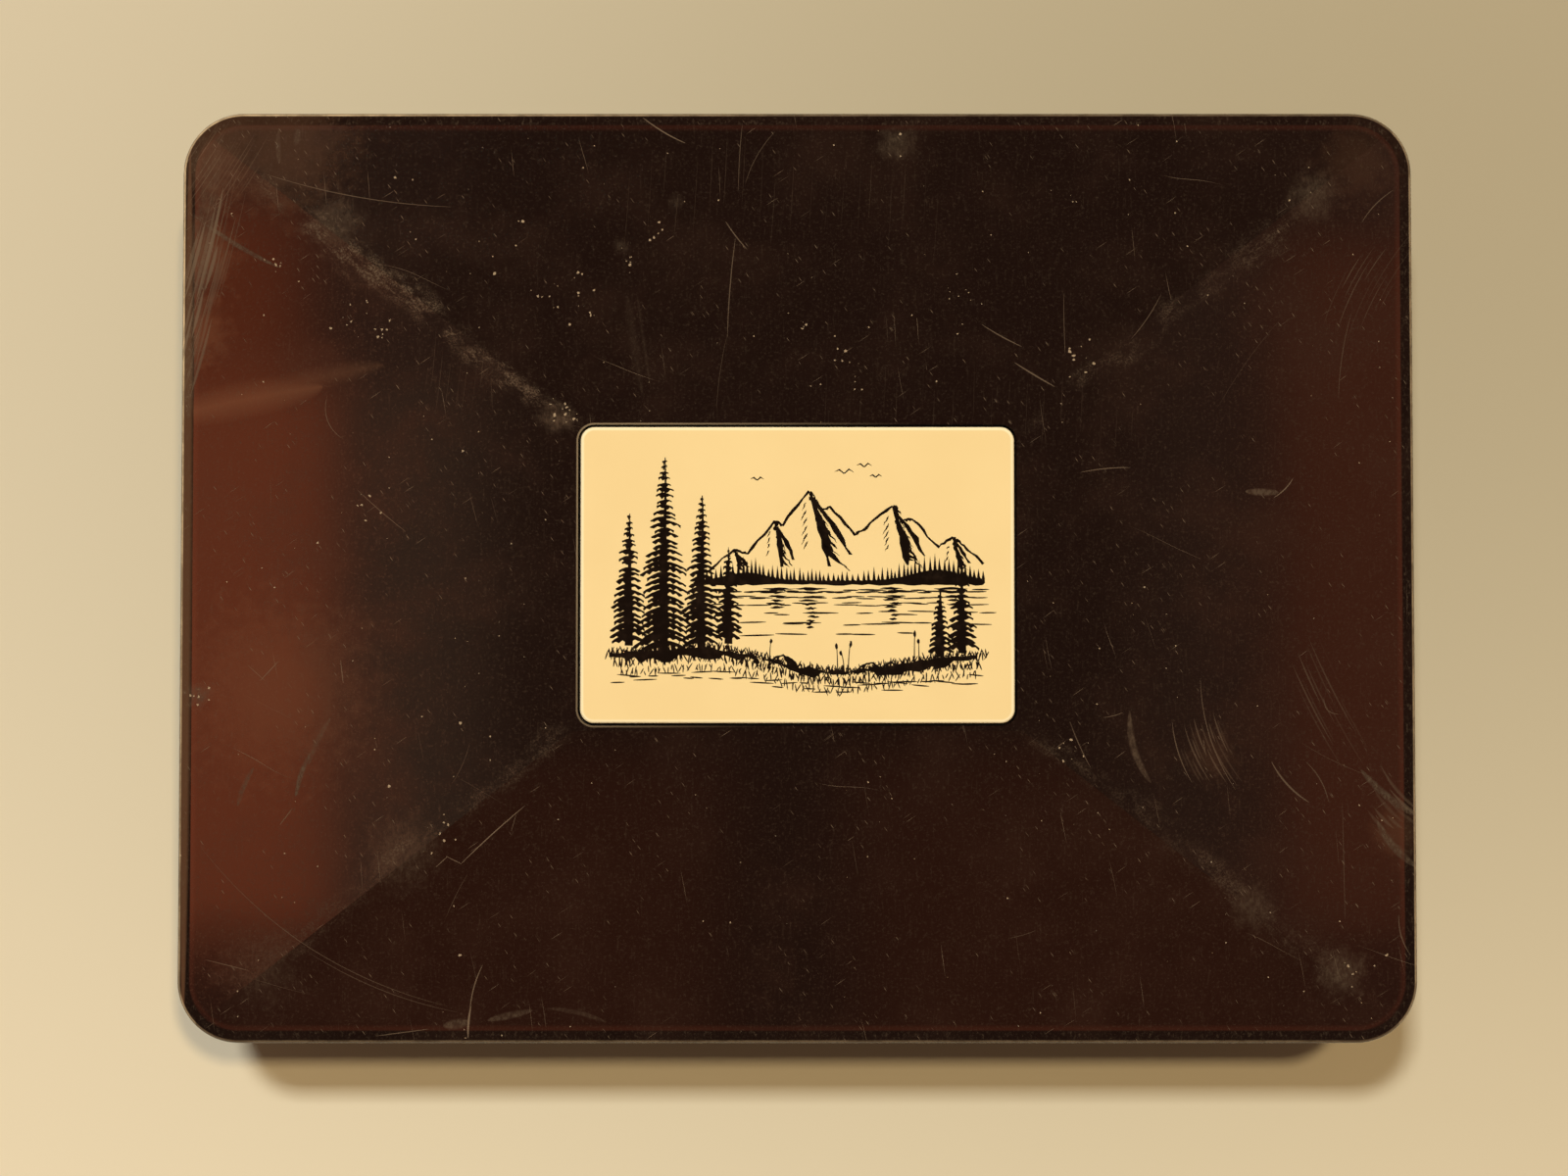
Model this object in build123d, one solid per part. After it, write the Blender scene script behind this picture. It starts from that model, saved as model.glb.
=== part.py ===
from build123d import *
import os

# Hinged plastic case for two decks of bridge-size cards, closed, in millimetres.
# The origin is the middle of the face it stands on: X to the right, Y to the hinge, Z up.

# Lid outline, which covers the base all round, and the radius of the wells' corners
lid_width = 130.0
lid_depth = 98.0
inner_corner_radius = 2.35

# Heights: the lid's lower edge, how far the base's wall goes on up inside the lid,
# and the room from there to the roof
parting_height = 13.2
wall_above_parting = 4.3
head_room = 2.85

# Lid: a narrow sloped rim, then four shallow facets that rise to a flat land
rim_width = 1.4
rim_rise = 0.35
facet_rise = 1.6
eave_round = 0.5
skirt_edge_round = 0.3
skirt_thickness = 1.8
roof_thickness = 1.7

# Inlaid plaque, its recess and the film that holds it
plaque_width = 45.4
plaque_depth = 31.0
plaque_thickness = 1.45
plaque_corner_radius = 1.45
plaque_edge_round = 0.3
plaque_proud = 0.15
plaque_gap = 0.25
adhesive_thickness = 0.1
adhesive_margin = 1.5
land_margin = 0.55
boss_margin = 2.0
boss_thickness = 1.5

# Seat ribs inside the lid, which come to rest on the base's wall
seat_rib_thickness = 1.2
seat_rib_gap = 0.05
seat_rib_x = 20.0
seat_rib_y = 28.0

# Base tray
skirt_gap = 0.3
base_wall = 2.0
floor_thickness = 1.8
foot_height = 0.8
foot_ring_width = 4.0
base_edge_round = 1.0
wall_top_round = 0.4
floor_round = 0.5

# Dips in the left and right walls, whose sill stays hidden inside the lid
finger_dip_width = 26.0
finger_dip_sill = 0.7
finger_dip_round = 3.0

# Thumb recess under the lid's front edge
thumb_recess_foot = 3.2
thumb_recess_skin = 0.9
thumb_recess_head = 0.7

# Snap bead on the lid and its groove in the base
snap_length = 14.0
snap_above_parting = 2.1
snap_bite = 0.1
snap_clearance = 0.15

# Divider between the two wells, and the guides that hold it upright
divider_thickness = 2.4
divider_below_wall = 1.5
divider_end_gap = 0.1
divider_side_gap = 0.05
divider_top_round = 0.5
divider_dip_width = 30.0
divider_dip_depth = 7.0
divider_dip_round = 5.0
guide_thickness = 1.0
guide_reach = 1.5
guide_below_divider = 1.0

# Felt liners on the floor of the wells
liner_thickness = 0.8
liner_gap = 0.6
liner_corner_radius = 2.0

# Hinges: two stations, each a lid knuckle between two base knuckles
hinge_from_side = 27.0
hinge_behind_base = 0.5
pin_radius = 0.6
pin_end_chamfer = 0.15
pin_end_inset = 0.1
pin_running_gap = 0.05
knuckle_wall = 0.9
base_knuckle_length = 4.5
lid_knuckle_length = 8.0
knuckle_side_gap = 0.25
knuckle_swing_gap = 0.25
knuckle_root = 0.5

# Round marks that the mould's ejector pins leave inside the lid and under the base
ejector_mark_radius = 2.5
ejector_mark_depth = 0.15
ejector_mark_inset = 16.0

# How far a cutting shape goes on past what it cuts, and a facet past its own edge
cut_overrun = 1.0
facet_overrun = 0.15

# Sizes that follow from the ones above
base_corner_radius = inner_corner_radius + base_wall
skirt_corner_radius = base_corner_radius + skirt_gap
lid_corner_radius = skirt_corner_radius + skirt_thickness
skirt_inner_width = lid_width - 2 * skirt_thickness
skirt_inner_depth = lid_depth - 2 * skirt_thickness
base_width = skirt_inner_width - 2 * skirt_gap
base_depth = skirt_inner_depth - 2 * skirt_gap
inner_width = base_width - 2 * base_wall
inner_depth = base_depth - 2 * base_wall
floor_top = foot_height + floor_thickness
wall_height = parting_height + wall_above_parting
divider_height = wall_height - divider_below_wall
roof_underside = wall_height + head_room
facet_foot_height = roof_underside + roof_thickness
eave_height = facet_foot_height - rim_rise
land_height = facet_foot_height + facet_rise
recess_width = plaque_width + 2 * plaque_gap
recess_depth = plaque_depth + 2 * plaque_gap
recess_corner_radius = plaque_corner_radius + plaque_gap
recess_floor = land_height + plaque_proud - plaque_thickness - adhesive_thickness
land_width = recess_width + 2 * land_margin
land_depth = recess_depth + 2 * land_margin
knuckle_radius = pin_radius + knuckle_wall
swing_radius = knuckle_radius + knuckle_swing_gap
hinge_y = base_depth / 2 + hinge_behind_base
hinge_z = parting_height


def slab(width, depth, radius, low, high):
    """A flat plate with rounded corners, from one height to another."""
    return Pos(0, 0, low) * extrude(RectangleRounded(width, depth, radius), high - low)


def block(x_range, y_range, z_range):
    """A plain box between two places on each axis, given in either order."""
    ranges = (x_range, y_range, z_range)
    size = [abs(end - start) for start, end in ranges]
    middle = [(start + end) / 2 for start, end in ranges]
    return Pos(*middle) * Box(*size)


def edges_at(shape, height):
    """The edges of a shape that lie flat at one height."""
    tolerance = 0.001
    return shape.edges().filter_by_position(Axis.Z, height - tolerance, height + tolerance)


def rod_along_x(x, y, z, length, radius):
    """A round rod that lies along X, with its middle at the place given."""
    return Pos(x, y, z) * Rot(0, 90, 0) * Cylinder(radius, length)


def hinge_rod(x, length, radius):
    """A round rod on the hinge's axis."""
    return rod_along_x(x, hinge_y, hinge_z, length, radius)


def snap_rod(length, radius):
    """A rod on the inside of the lid's front skirt, for the snap bead and for its groove."""
    return rod_along_x(0, -skirt_inner_depth / 2, parting_height + snap_above_parting, length, radius)


def station_centres():
    """The two hinge stations' places along X."""
    outward = lid_width / 2 - hinge_from_side
    return (-outward, outward)


def base_knuckle_centres():
    """The places along X of the base's four knuckles."""
    step = (lid_knuckle_length + base_knuckle_length) / 2 + knuckle_side_gap
    return [centre + side * step for centre in station_centres() for side in (-1, 1)]


def facet_block():
    """Everything under the four sloped facets, which go on a little past their lower edge."""
    foot_width = lid_width - 2 * rim_width
    foot_depth = lid_depth - 2 * rim_width
    overrun_share = facet_overrun / facet_rise
    wide_width = foot_width + (foot_width - land_width) * overrun_share
    wide_depth = foot_depth + (foot_depth - land_depth) * overrun_share
    low = facet_foot_height - facet_overrun
    wide = Pos(0, 0, low) * Rectangle(wide_width, wide_depth)
    top = Pos(0, 0, land_height) * Rectangle(land_width, land_depth)
    under = Pos(0, 0, low / 2) * Box(wide_width, wide_depth, low)
    return loft([wide, top], ruled=True) + under


def rim_block():
    """The lid's outline with its sloped rim, which goes on inwards past the facets' edge."""
    inset = 2 * rim_width
    head_width = lid_width - 2 * inset
    head_depth = lid_depth - 2 * inset
    head_radius = lid_corner_radius - inset
    skirt = slab(lid_width, lid_depth, lid_corner_radius, parting_height, eave_height)
    foot = Pos(0, 0, eave_height) * RectangleRounded(lid_width, lid_depth, lid_corner_radius)
    head_height = eave_height + 2 * rim_rise
    head = Pos(0, 0, head_height) * RectangleRounded(head_width, head_depth, head_radius)
    core_width = head_width - cut_overrun
    core_depth = head_depth - cut_overrun
    core = slab(core_width, core_depth, head_radius, eave_height, land_height + cut_overrun)
    return skirt + loft([foot, head], ruled=True) + core


def lid_outside():
    """The lid's outer shape, solid, with its eave and its lower edge rounded."""
    outside = rim_block() & facet_block()
    outside = fillet(edges_at(outside, eave_height), eave_round)
    return fillet(edges_at(outside, parting_height), skirt_edge_round)


def lid_hollow():
    """The space inside the lid: its roof follows the facets, with a boss under the plaque."""
    low = parting_height - cut_overrun
    hollow = slab(skirt_inner_width, skirt_inner_depth, skirt_corner_radius, low, land_height)
    hollow = hollow & (Pos(0, 0, -roof_thickness) * facet_block())
    boss = slab(
        recess_width + 2 * boss_margin,
        recess_depth + 2 * boss_margin,
        recess_corner_radius + boss_margin,
        recess_floor - boss_thickness,
        land_height,
    )
    return hollow - boss


def ejector_marks(surface_height):
    """Six upright discs that cut the marks; surface_height gives the height at a place."""
    x_outer = inner_width / 2 - ejector_mark_inset
    y_outer = inner_depth / 2 - ejector_mark_inset
    marks = []
    for x in (-x_outer, 0, x_outer):
        for y in (-y_outer, y_outer):
            high = surface_height(x, y) + ejector_mark_depth
            length = ejector_mark_depth + cut_overrun
            marks.append(Pos(x, y, high - length / 2) * Cylinder(ejector_mark_radius, length))
    return marks


def roof_height(x, y):
    """The height of the roof's underside, which is lowest along the rim."""
    foot_x = lid_width / 2 - rim_width
    foot_y = lid_depth / 2 - rim_width
    share_x = (foot_x - abs(x)) / (foot_x - land_width / 2)
    share_y = (foot_y - abs(y)) / (foot_y - land_depth / 2)
    return roof_underside + facet_rise * min(share_x, share_y, 1)


def lid_shell():
    """The lid: roof, skirt, plaque recess, seat ribs, snap bead and two hinge knuckles."""
    high = land_height + cut_overrun
    recess = slab(recess_width, recess_depth, recess_corner_radius, recess_floor, high)
    lid = lid_outside() - lid_hollow() - recess - ejector_marks(roof_height)
    lid = lid + seat_ribs() + snap_rod(snap_length, skirt_gap + snap_bite)
    for x in base_knuckle_centres():
        lid = lid - hinge_rod(x, base_knuckle_length + 2 * knuckle_side_gap, swing_radius)
    for x in station_centres():
        lid = lid + hinge_rod(x, lid_knuckle_length, knuckle_radius)
    for x in station_centres():
        bore_length = lid_knuckle_length + knuckle_side_gap
        lid = lid - hinge_rod(x, bore_length, pin_radius + pin_running_gap)
    return lid


def seat_ribs():
    """Eight short ribs, two to a side, which hang from the roof down to the base's wall."""
    z_range = (wall_height + seat_rib_gap, roof_underside + roof_thickness / 2)
    reach = skirt_gap + base_wall - wall_top_round
    root = skirt_thickness / 2
    half = seat_rib_thickness / 2
    ribs = []
    for side in (-1, 1):
        x_edge = side * skirt_inner_width / 2
        y_edge = side * skirt_inner_depth / 2
        for place in (-1, 1):
            x = place * seat_rib_x
            y = place * seat_rib_y
            x_range = (x_edge + side * root, x_edge - side * reach)
            y_range = (y_edge + side * root, y_edge - side * reach)
            ribs.append(block(x_range, (y - half, y + half), z_range))
            ribs.append(block((x - half, x + half), y_range, z_range))
    return ribs


def base_tray():
    """The base: foot ring, floor, walls, divider guides and four hinge knuckles."""
    tray = slab(base_width, base_depth, base_corner_radius, 0, wall_height)
    tray = fillet(edges_at(tray, 0), base_edge_round)
    high = wall_height + cut_overrun
    well = slab(inner_width, inner_depth, inner_corner_radius, floor_top, high)
    tray = tray - fillet(edges_at(well, floor_top), floor_round)
    tray = fillet(edges_at(tray, wall_height), wall_top_round)
    tray = tray - foot_hollow() - ejector_marks(lambda x, y: foot_height)
    tray = tray - finger_dips() - thumb_recess()
    groove_radius = skirt_gap + snap_bite + snap_clearance
    tray = tray - snap_rod(snap_length + 2 * snap_clearance, groove_radius)
    tray = tray + divider_guides()
    for x in station_centres():
        tray = tray - hinge_rod(x, lid_knuckle_length + 2 * knuckle_side_gap, swing_radius)
    for x in base_knuckle_centres():
        tray = tray + base_knuckle(x)
    for x in base_knuckle_centres():
        tray = tray - hinge_rod(x, base_knuckle_length + knuckle_side_gap, pin_radius)
    return tray


def foot_hollow():
    """The shallow space inside the foot ring."""
    width = base_width - 2 * foot_ring_width
    depth = base_depth - 2 * foot_ring_width
    return slab(width, depth, base_corner_radius, -cut_overrun, foot_height)


def base_knuckle(x):
    """One knuckle behind the base's rear wall, with the web that carries it."""
    half = base_knuckle_length / 2
    web = block(
        (x - half, x + half),
        (base_depth / 2 - knuckle_root, hinge_y),
        (hinge_z - knuckle_radius, hinge_z + knuckle_radius),
    )
    return web + hinge_rod(x, base_knuckle_length, knuckle_radius)


def dip_outline(width, depth, corner_round):
    """The outline that cuts a dip in an edge, centred on that edge; its round fits its depth."""
    return RectangleRounded(width, 2 * depth, min(corner_round, 0.9 * depth))


def finger_dips():
    """The dips in the left and right walls, which let two fingers reach the cards."""
    depth = wall_above_parting - finger_dip_sill
    outline = dip_outline(finger_dip_width, depth, finger_dip_round)
    across = extrude(Plane.YZ * Pos(0, wall_height) * outline, base_width, both=True)
    inside = Pos(0, 0, wall_height) * Box(inner_width - cut_overrun, inner_depth, 2 * wall_height)
    return across - inside


def thumb_recess():
    """A shallow half-moon dish in the front wall, under the lid's front edge."""
    depth = base_wall - thumb_recess_skin
    radius = parting_height - thumb_recess_foot
    ball_radius = (radius**2 + depth**2) / (2 * depth)
    ball = Pos(0, depth - base_depth / 2 - ball_radius, parting_height) * Sphere(ball_radius)
    window = block(
        (-radius - cut_overrun, radius + cut_overrun),
        (-base_depth / 2 - cut_overrun, -inner_depth / 2),
        (0, parting_height + thumb_recess_head),
    )
    return ball & window


def divider_guides():
    """Two pairs of upright guides, on the front and rear walls, either side of the divider."""
    near = divider_thickness / 2 + divider_side_gap
    far = near + guide_thickness
    z_range = (floor_top - floor_thickness / 2, divider_height - guide_below_divider)
    guides = []
    for side in (-1, 1):
        for end in (-1, 1):
            face = end * inner_depth / 2
            y_range = (face + end * base_wall / 2, face - end * guide_reach)
            guides.append(block((side * near, side * far), y_range, z_range))
    return guides


def well_divider():
    """The upright plate between the two wells, with a dip in its top edge."""
    length = inner_depth - 2 * divider_end_gap
    half = divider_thickness / 2
    plate = block((-half, half), (-length / 2, length / 2), (floor_top, divider_height))
    feet = edges_at(plate, floor_top).filter_by(Axis.X)
    plate = fillet(feet, floor_round + divider_end_gap)
    outline = dip_outline(divider_dip_width, divider_dip_depth, divider_dip_round)
    plate = plate - extrude(Plane.YZ * Pos(0, divider_height) * outline, divider_thickness, both=True)
    return fillet(edges_at(plate, divider_height).filter_by(Axis.Y), divider_top_round)


def well_liner(side):
    """The felt on the floor of one well; side is -1 for the left well and 1 for the right."""
    guide_far_side = divider_thickness / 2 + divider_side_gap + guide_thickness
    inner_edge = guide_far_side + divider_side_gap
    outer_edge = inner_width / 2 - liner_gap
    width = outer_edge - inner_edge
    depth = inner_depth - 2 * liner_gap
    felt = slab(width, depth, liner_corner_radius, floor_top, floor_top + liner_thickness)
    return Pos(side * (inner_edge + outer_edge) / 2, 0, 0) * felt


def lid_plaque():
    """The inlaid plate, a little proud of the lid, with a rounded top edge."""
    high = land_height + plaque_proud
    low = high - plaque_thickness
    plate = slab(plaque_width, plaque_depth, plaque_corner_radius, low, high)
    return fillet(edges_at(plate, high), plaque_edge_round)


def plaque_adhesive():
    """The film between the plaque and the floor of its recess."""
    width = plaque_width - 2 * adhesive_margin
    depth = plaque_depth - 2 * adhesive_margin
    high = recess_floor + adhesive_thickness
    return slab(width, depth, plaque_corner_radius, recess_floor, high)


def hinge_pin(x):
    """One steel pin, through the three knuckles of a station."""
    station_length = lid_knuckle_length + 2 * (knuckle_side_gap + base_knuckle_length)
    pin = hinge_rod(x, station_length - 2 * pin_end_inset, pin_radius)
    return chamfer(pin.edges().filter_by(GeomType.CIRCLE), pin_end_chamfer)


def main():
    """Builds every piece and writes one file for each."""
    left, right = station_centres()
    pieces = {
        "lid_shell": lid_shell(),
        "lid_plaque": lid_plaque(),
        "plaque_adhesive": plaque_adhesive(),
        "base_tray": base_tray(),
        "well_divider": well_divider(),
        "left_well_liner": well_liner(-1),
        "right_well_liner": well_liner(1),
        "left_hinge_pin": hinge_pin(left),
        "right_hinge_pin": hinge_pin(right),
    }
    os.makedirs("parts", exist_ok=True)
    for name, shape in pieces.items():
        export_step(shape, f"parts/{name}.step")


main()
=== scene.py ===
import logging
import math
import random
from collections.abc import Iterable
from dataclasses import dataclass, field
from enum import Enum

import bmesh
import bpy
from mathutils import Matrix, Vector, noise
from mathutils.geometry import tessellate_polygon


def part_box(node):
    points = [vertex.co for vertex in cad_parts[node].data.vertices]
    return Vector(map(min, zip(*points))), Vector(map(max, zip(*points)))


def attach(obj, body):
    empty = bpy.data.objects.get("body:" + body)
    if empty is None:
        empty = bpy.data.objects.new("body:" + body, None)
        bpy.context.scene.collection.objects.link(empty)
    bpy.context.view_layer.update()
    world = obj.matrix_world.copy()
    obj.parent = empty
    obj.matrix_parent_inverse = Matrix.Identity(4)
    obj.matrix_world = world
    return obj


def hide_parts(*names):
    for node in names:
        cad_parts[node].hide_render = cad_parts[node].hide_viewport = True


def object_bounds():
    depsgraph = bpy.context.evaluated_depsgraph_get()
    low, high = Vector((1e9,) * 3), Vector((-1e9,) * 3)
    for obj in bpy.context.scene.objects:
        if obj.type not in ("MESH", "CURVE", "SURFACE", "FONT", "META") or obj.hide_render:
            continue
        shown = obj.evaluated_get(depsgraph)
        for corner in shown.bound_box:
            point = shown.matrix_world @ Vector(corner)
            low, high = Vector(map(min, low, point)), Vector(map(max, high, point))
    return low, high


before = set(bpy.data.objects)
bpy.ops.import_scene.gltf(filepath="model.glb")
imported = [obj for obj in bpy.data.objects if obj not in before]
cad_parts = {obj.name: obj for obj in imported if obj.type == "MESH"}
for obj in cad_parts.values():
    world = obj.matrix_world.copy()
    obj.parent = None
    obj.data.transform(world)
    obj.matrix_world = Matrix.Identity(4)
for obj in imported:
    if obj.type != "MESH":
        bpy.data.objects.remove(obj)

log = logging.getLogger("card_case")

Socket = bpy.types.NodeSocket
# A colour is red, green, blue and alpha. A place is X and Y, in millimetres or in pixels.
Colour = tuple[float, float, float, float]
Place = tuple[float, float]

MM = 0.001
# The photograph's scale, and its pixel where the lid's middle is.
PHOTO_PIXELS_PER_MM = 9.67
PHOTO_LID_MIDDLE = (813.0, 590.0)
BLACK = (0.0, 0.0, 0.0, 1.0)
VECTOR = "NodeSocketVector"
CAD_BOUNDS = [list(corner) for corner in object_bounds()]


class Body(Enum):
    """The case's two rigid bodies."""

    BASE = "base"
    LID = "lid"


class Slot(Enum):
    """Names of the record's material slots for the print and the felt; nothing here uses them."""

    INK = "plaque_ink"
    FELT = "felt"


def in_mm(node: str) -> tuple[Vector, Vector]:
    """Gives a CAD node's lowest and highest corners in millimetres.

    Args:
        node: The CAD node's name.

    Returns:
        The lowest and the highest corner.
    """
    low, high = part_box(node)
    return Vector(low) / MM, Vector(high) / MM


class Graph:
    """Adds nodes to one node tree, and links them by the sockets' names."""

    def __init__(self, tree: bpy.types.NodeTree) -> None:
        """Keeps the tree that the nodes go into."""
        self.tree = tree

    def add(self, kind: str, settings: dict | None = None, **inputs: object) -> bpy.types.Node:
        """Adds one node.

        Args:
            kind: The node's type, such as ShaderNodeMath.
            settings: The node's own properties, by name.
            **inputs: Values or sockets for its inputs; an underscore stands for a space.

        Returns:
            The new node.
        """
        node = self.tree.nodes.new(kind)
        for name, value in (settings or {}).items():
            setattr(node, name, value)
        return self.supply(node, **inputs)

    def supply(self, node: bpy.types.Node, **inputs: object) -> bpy.types.Node:
        """Links or sets a node's inputs by name.

        Args:
            node: The node.
            **inputs: Values or sockets for its inputs; an underscore stands for a space.

        Returns:
            The same node.
        """
        for name, value in inputs.items():
            self.feed(node.inputs[name.replace("_", " ")], value)
        return node

    def feed(self, socket: Socket, value: object) -> None:
        """Links a socket to an input, or sets the input's own value.

        Args:
            socket: The input.
            value: A socket to link, or a plain value.
        """
        if isinstance(value, Socket):
            self.tree.links.new(value, socket)
        else:
            socket.default_value = value

    def math(self, operation: str, *values: object, clamp: bool = False) -> Socket:
        """Adds a Math node with up to three values, and gives its result.

        Args:
            operation: The node's operation, such as MULTIPLY.
            *values: Its inputs in order.
            clamp: Whether the result is kept between 0 and 1.

        Returns:
            The node's result.
        """
        node = self.add("ShaderNodeMath", {"operation": operation, "use_clamp": clamp})
        for socket, value in zip(node.inputs, values):
            self.feed(socket, value)
        return node.outputs[0]

    def times(self, first: object, *others: object, clamp: bool = False) -> Socket:
        """Multiplies numbers, in the order that they are given in.

        Args:
            first: The first number.
            *others: The numbers that it is multiplied by, one or more.
            clamp: Whether the product is kept between 0 and 1.

        Returns:
            The product.
        """
        product = first
        for index, other in enumerate(others, start=1):
            last = index == len(others)
            product = self.math("MULTIPLY", product, other, clamp=clamp and last)
        return product

    def rest(self, share: object) -> Socket:
        """Gives what a share leaves of 1."""
        return self.math("SUBTRACT", 1.0, share)

    def strongest(self, masks: Iterable[Socket]) -> Socket:
        """Gives the strongest of several masks at each place.

        Args:
            masks: The masks, one or more.

        Returns:
            One mask.
        """
        most = None
        for mask in masks:
            most = mask if most is None else self.math("MAXIMUM", most, mask)
        return most

    def vector(self, operation: str, *values: object, out: str = "Vector") -> Socket:
        """Adds a Vector Math node and gives the output asked for.

        Args:
            operation: The node's operation, such as DOT_PRODUCT.
            *values: Its inputs in order.
            out: The output's name.

        Returns:
            The output asked for.
        """
        node = self.add("ShaderNodeVectorMath", {"operation": operation})
        for socket, value in zip(node.inputs, values):
            self.feed(socket, value)
        return node.outputs[out]

    def scaled(self, vector: Socket, factor: object) -> Socket:
        """Multiplies a vector by a number.

        Args:
            vector: The vector.
            factor: The number.

        Returns:
            The longer or shorter vector.
        """
        node = self.add("ShaderNodeVectorMath", {"operation": "SCALE"}, Vector=vector, Scale=factor)
        return node.outputs["Vector"]

    def step(self, value: object, low: object, high: object) -> Socket:
        """Gives 0 below one value and 1 above another, with a smooth rise between them.

        Args:
            value: The value.
            low: Where the rise starts.
            high: Where it ends.

        Returns:
            A number from 0 to 1.
        """
        node = self.add("ShaderNodeMapRange", {"interpolation_type": "SMOOTHSTEP"}, Value=value,
                        From_Min=low, From_Max=high)
        return node.outputs["Result"]

    def mix(self, factor: object, first: object, second: object) -> Socket:
        """Mixes two numbers; the node's sockets share their names, so they go by number.

        Args:
            factor: The share of the second value.
            first: The value at factor 0.
            second: The value at factor 1.

        Returns:
            The mixed number.
        """
        node = self.add("ShaderNodeMix", {"data_type": "FLOAT", "clamp_factor": True})
        self.feed(node.inputs[0], factor)
        self.feed(node.inputs[2], first)
        self.feed(node.inputs[3], second)
        return node.outputs[0]

    def mix_colour(self, factor: object, first: object, second: object) -> Socket:
        """Mixes two colours.

        Args:
            factor: The share of the second value.
            first: The value at factor 0.
            second: The value at factor 1.

        Returns:
            The mixed colour.
        """
        node = self.add("ShaderNodeMix", {"data_type": "RGBA", "clamp_factor": True})
        self.feed(node.inputs[0], factor)
        self.feed(node.inputs[6], first)
        self.feed(node.inputs[7], second)
        return node.outputs[2]

    def noise(self, vector: object, scale: object, detail: float = 3.0, rough: float = 0.5,
              warp: float = 0.0) -> Socket:
        """Adds a Noise Texture and gives its value.

        Args:
            vector: The place.
            scale: How many waves there are to a unit of the place.
            detail: How many finer layers it has.
            rough: How strong the finer layers are.
            warp: How far the pattern is bent.

        Returns:
            The noise, from 0 to 1.
        """
        node = self.add("ShaderNodeTexNoise", Vector=vector, Scale=scale, Detail=detail,
                        Roughness=rough, Distortion=warp)
        return node.outputs[0]

    def split(self, vector: Socket) -> tuple[Socket, ...]:
        """Gives a vector's X, Y and Z."""
        return tuple(self.add("ShaderNodeSeparateXYZ", Vector=vector).outputs)

    def join(self, x: object, y: object, z: object) -> Socket:
        """Makes a vector of three numbers."""
        return self.add("ShaderNodeCombineXYZ", X=x, Y=y, Z=z).outputs[0]


@dataclass(frozen=True)
class Port:
    """One input or output of a shader node group."""

    name: str
    kind: str = "NodeSocketFloat"
    value: object = 0.0


class Effect:
    """A shader effect as a node group, built once and placed in each material that uses it."""

    title = "effect"
    inputs: tuple[Port, ...] = ()
    outputs: tuple[Port, ...] = (Port("Mask"),)

    def tree(self) -> bpy.types.NodeTree:
        """Gives the group's node tree, and builds it when it is first asked for.

        Returns:
            The group's node tree.
        """
        known = bpy.data.node_groups.get(self.title)
        if known:
            return known
        tree = bpy.data.node_groups.new(self.title, "ShaderNodeTree")
        for port in self.inputs:
            socket = tree.interface.new_socket(port.name, in_out="INPUT", socket_type=port.kind)
            if port.kind != VECTOR:
                socket.default_value = port.value
        for port in self.outputs:
            tree.interface.new_socket(port.name, in_out="OUTPUT", socket_type=port.kind)
        given = tree.nodes.new("NodeGroupInput").outputs
        result = tree.nodes.new("NodeGroupOutput").inputs
        for name, socket in self.build(Graph(tree), given).items():
            tree.links.new(socket, result[name])
        return tree

    def build(self, graph: Graph, given: object) -> dict[str, Socket]:
        """Adds the group's nodes and gives its outputs by name."""
        raise NotImplementedError

    def place(self, graph: Graph, **values: object) -> bpy.types.Node:
        """Puts the group into a material.

        Args:
            graph: The material's graph.
            **values: Values or sockets for the group's inputs; an underscore is a space.

        Returns:
            The group's node in that material.
        """
        return graph.add("ShaderNodeGroup", {"node_tree": self.tree()}, **values)


class SurfacePlace(Effect):
    """Millimetres over a surface: X and Y on level faces, and along and up on upright ones."""

    title = "surface place"
    inputs = (Port("Object", VECTOR), Port("Normal", VECTOR))
    outputs = (Port("Flat", VECTOR), Port("Solid", VECTOR), Port("Upward"))

    def build(self, graph: Graph, given: object) -> dict[str, Socket]:
        """Adds the nodes that unfold the surface.

        Args:
            graph: The graph that the nodes go into.
            given: The group's inputs.

        Returns:
            The place over the surface, the place in space, and 1 where a face looks up.
        """
        solid = graph.scaled(given["Object"], 1 / MM)
        x, y, z = graph.split(solid)
        up = graph.split(given["Normal"])[2]
        upright = graph.join(graph.math("ADD", x, y), z, 0.0)
        level = graph.step(graph.math("ABSOLUTE", up), 0.45, 0.55)
        node = graph.add("ShaderNodeMix", {"data_type": "VECTOR"})
        graph.feed(node.inputs[0], level)
        graph.feed(node.inputs[4], upright)
        graph.feed(node.inputs[5], graph.join(x, y, 0.0))
        return {"Flat": node.outputs[1], "Solid": solid, "Upward": graph.step(up, 0.45, 0.55)}


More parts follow.
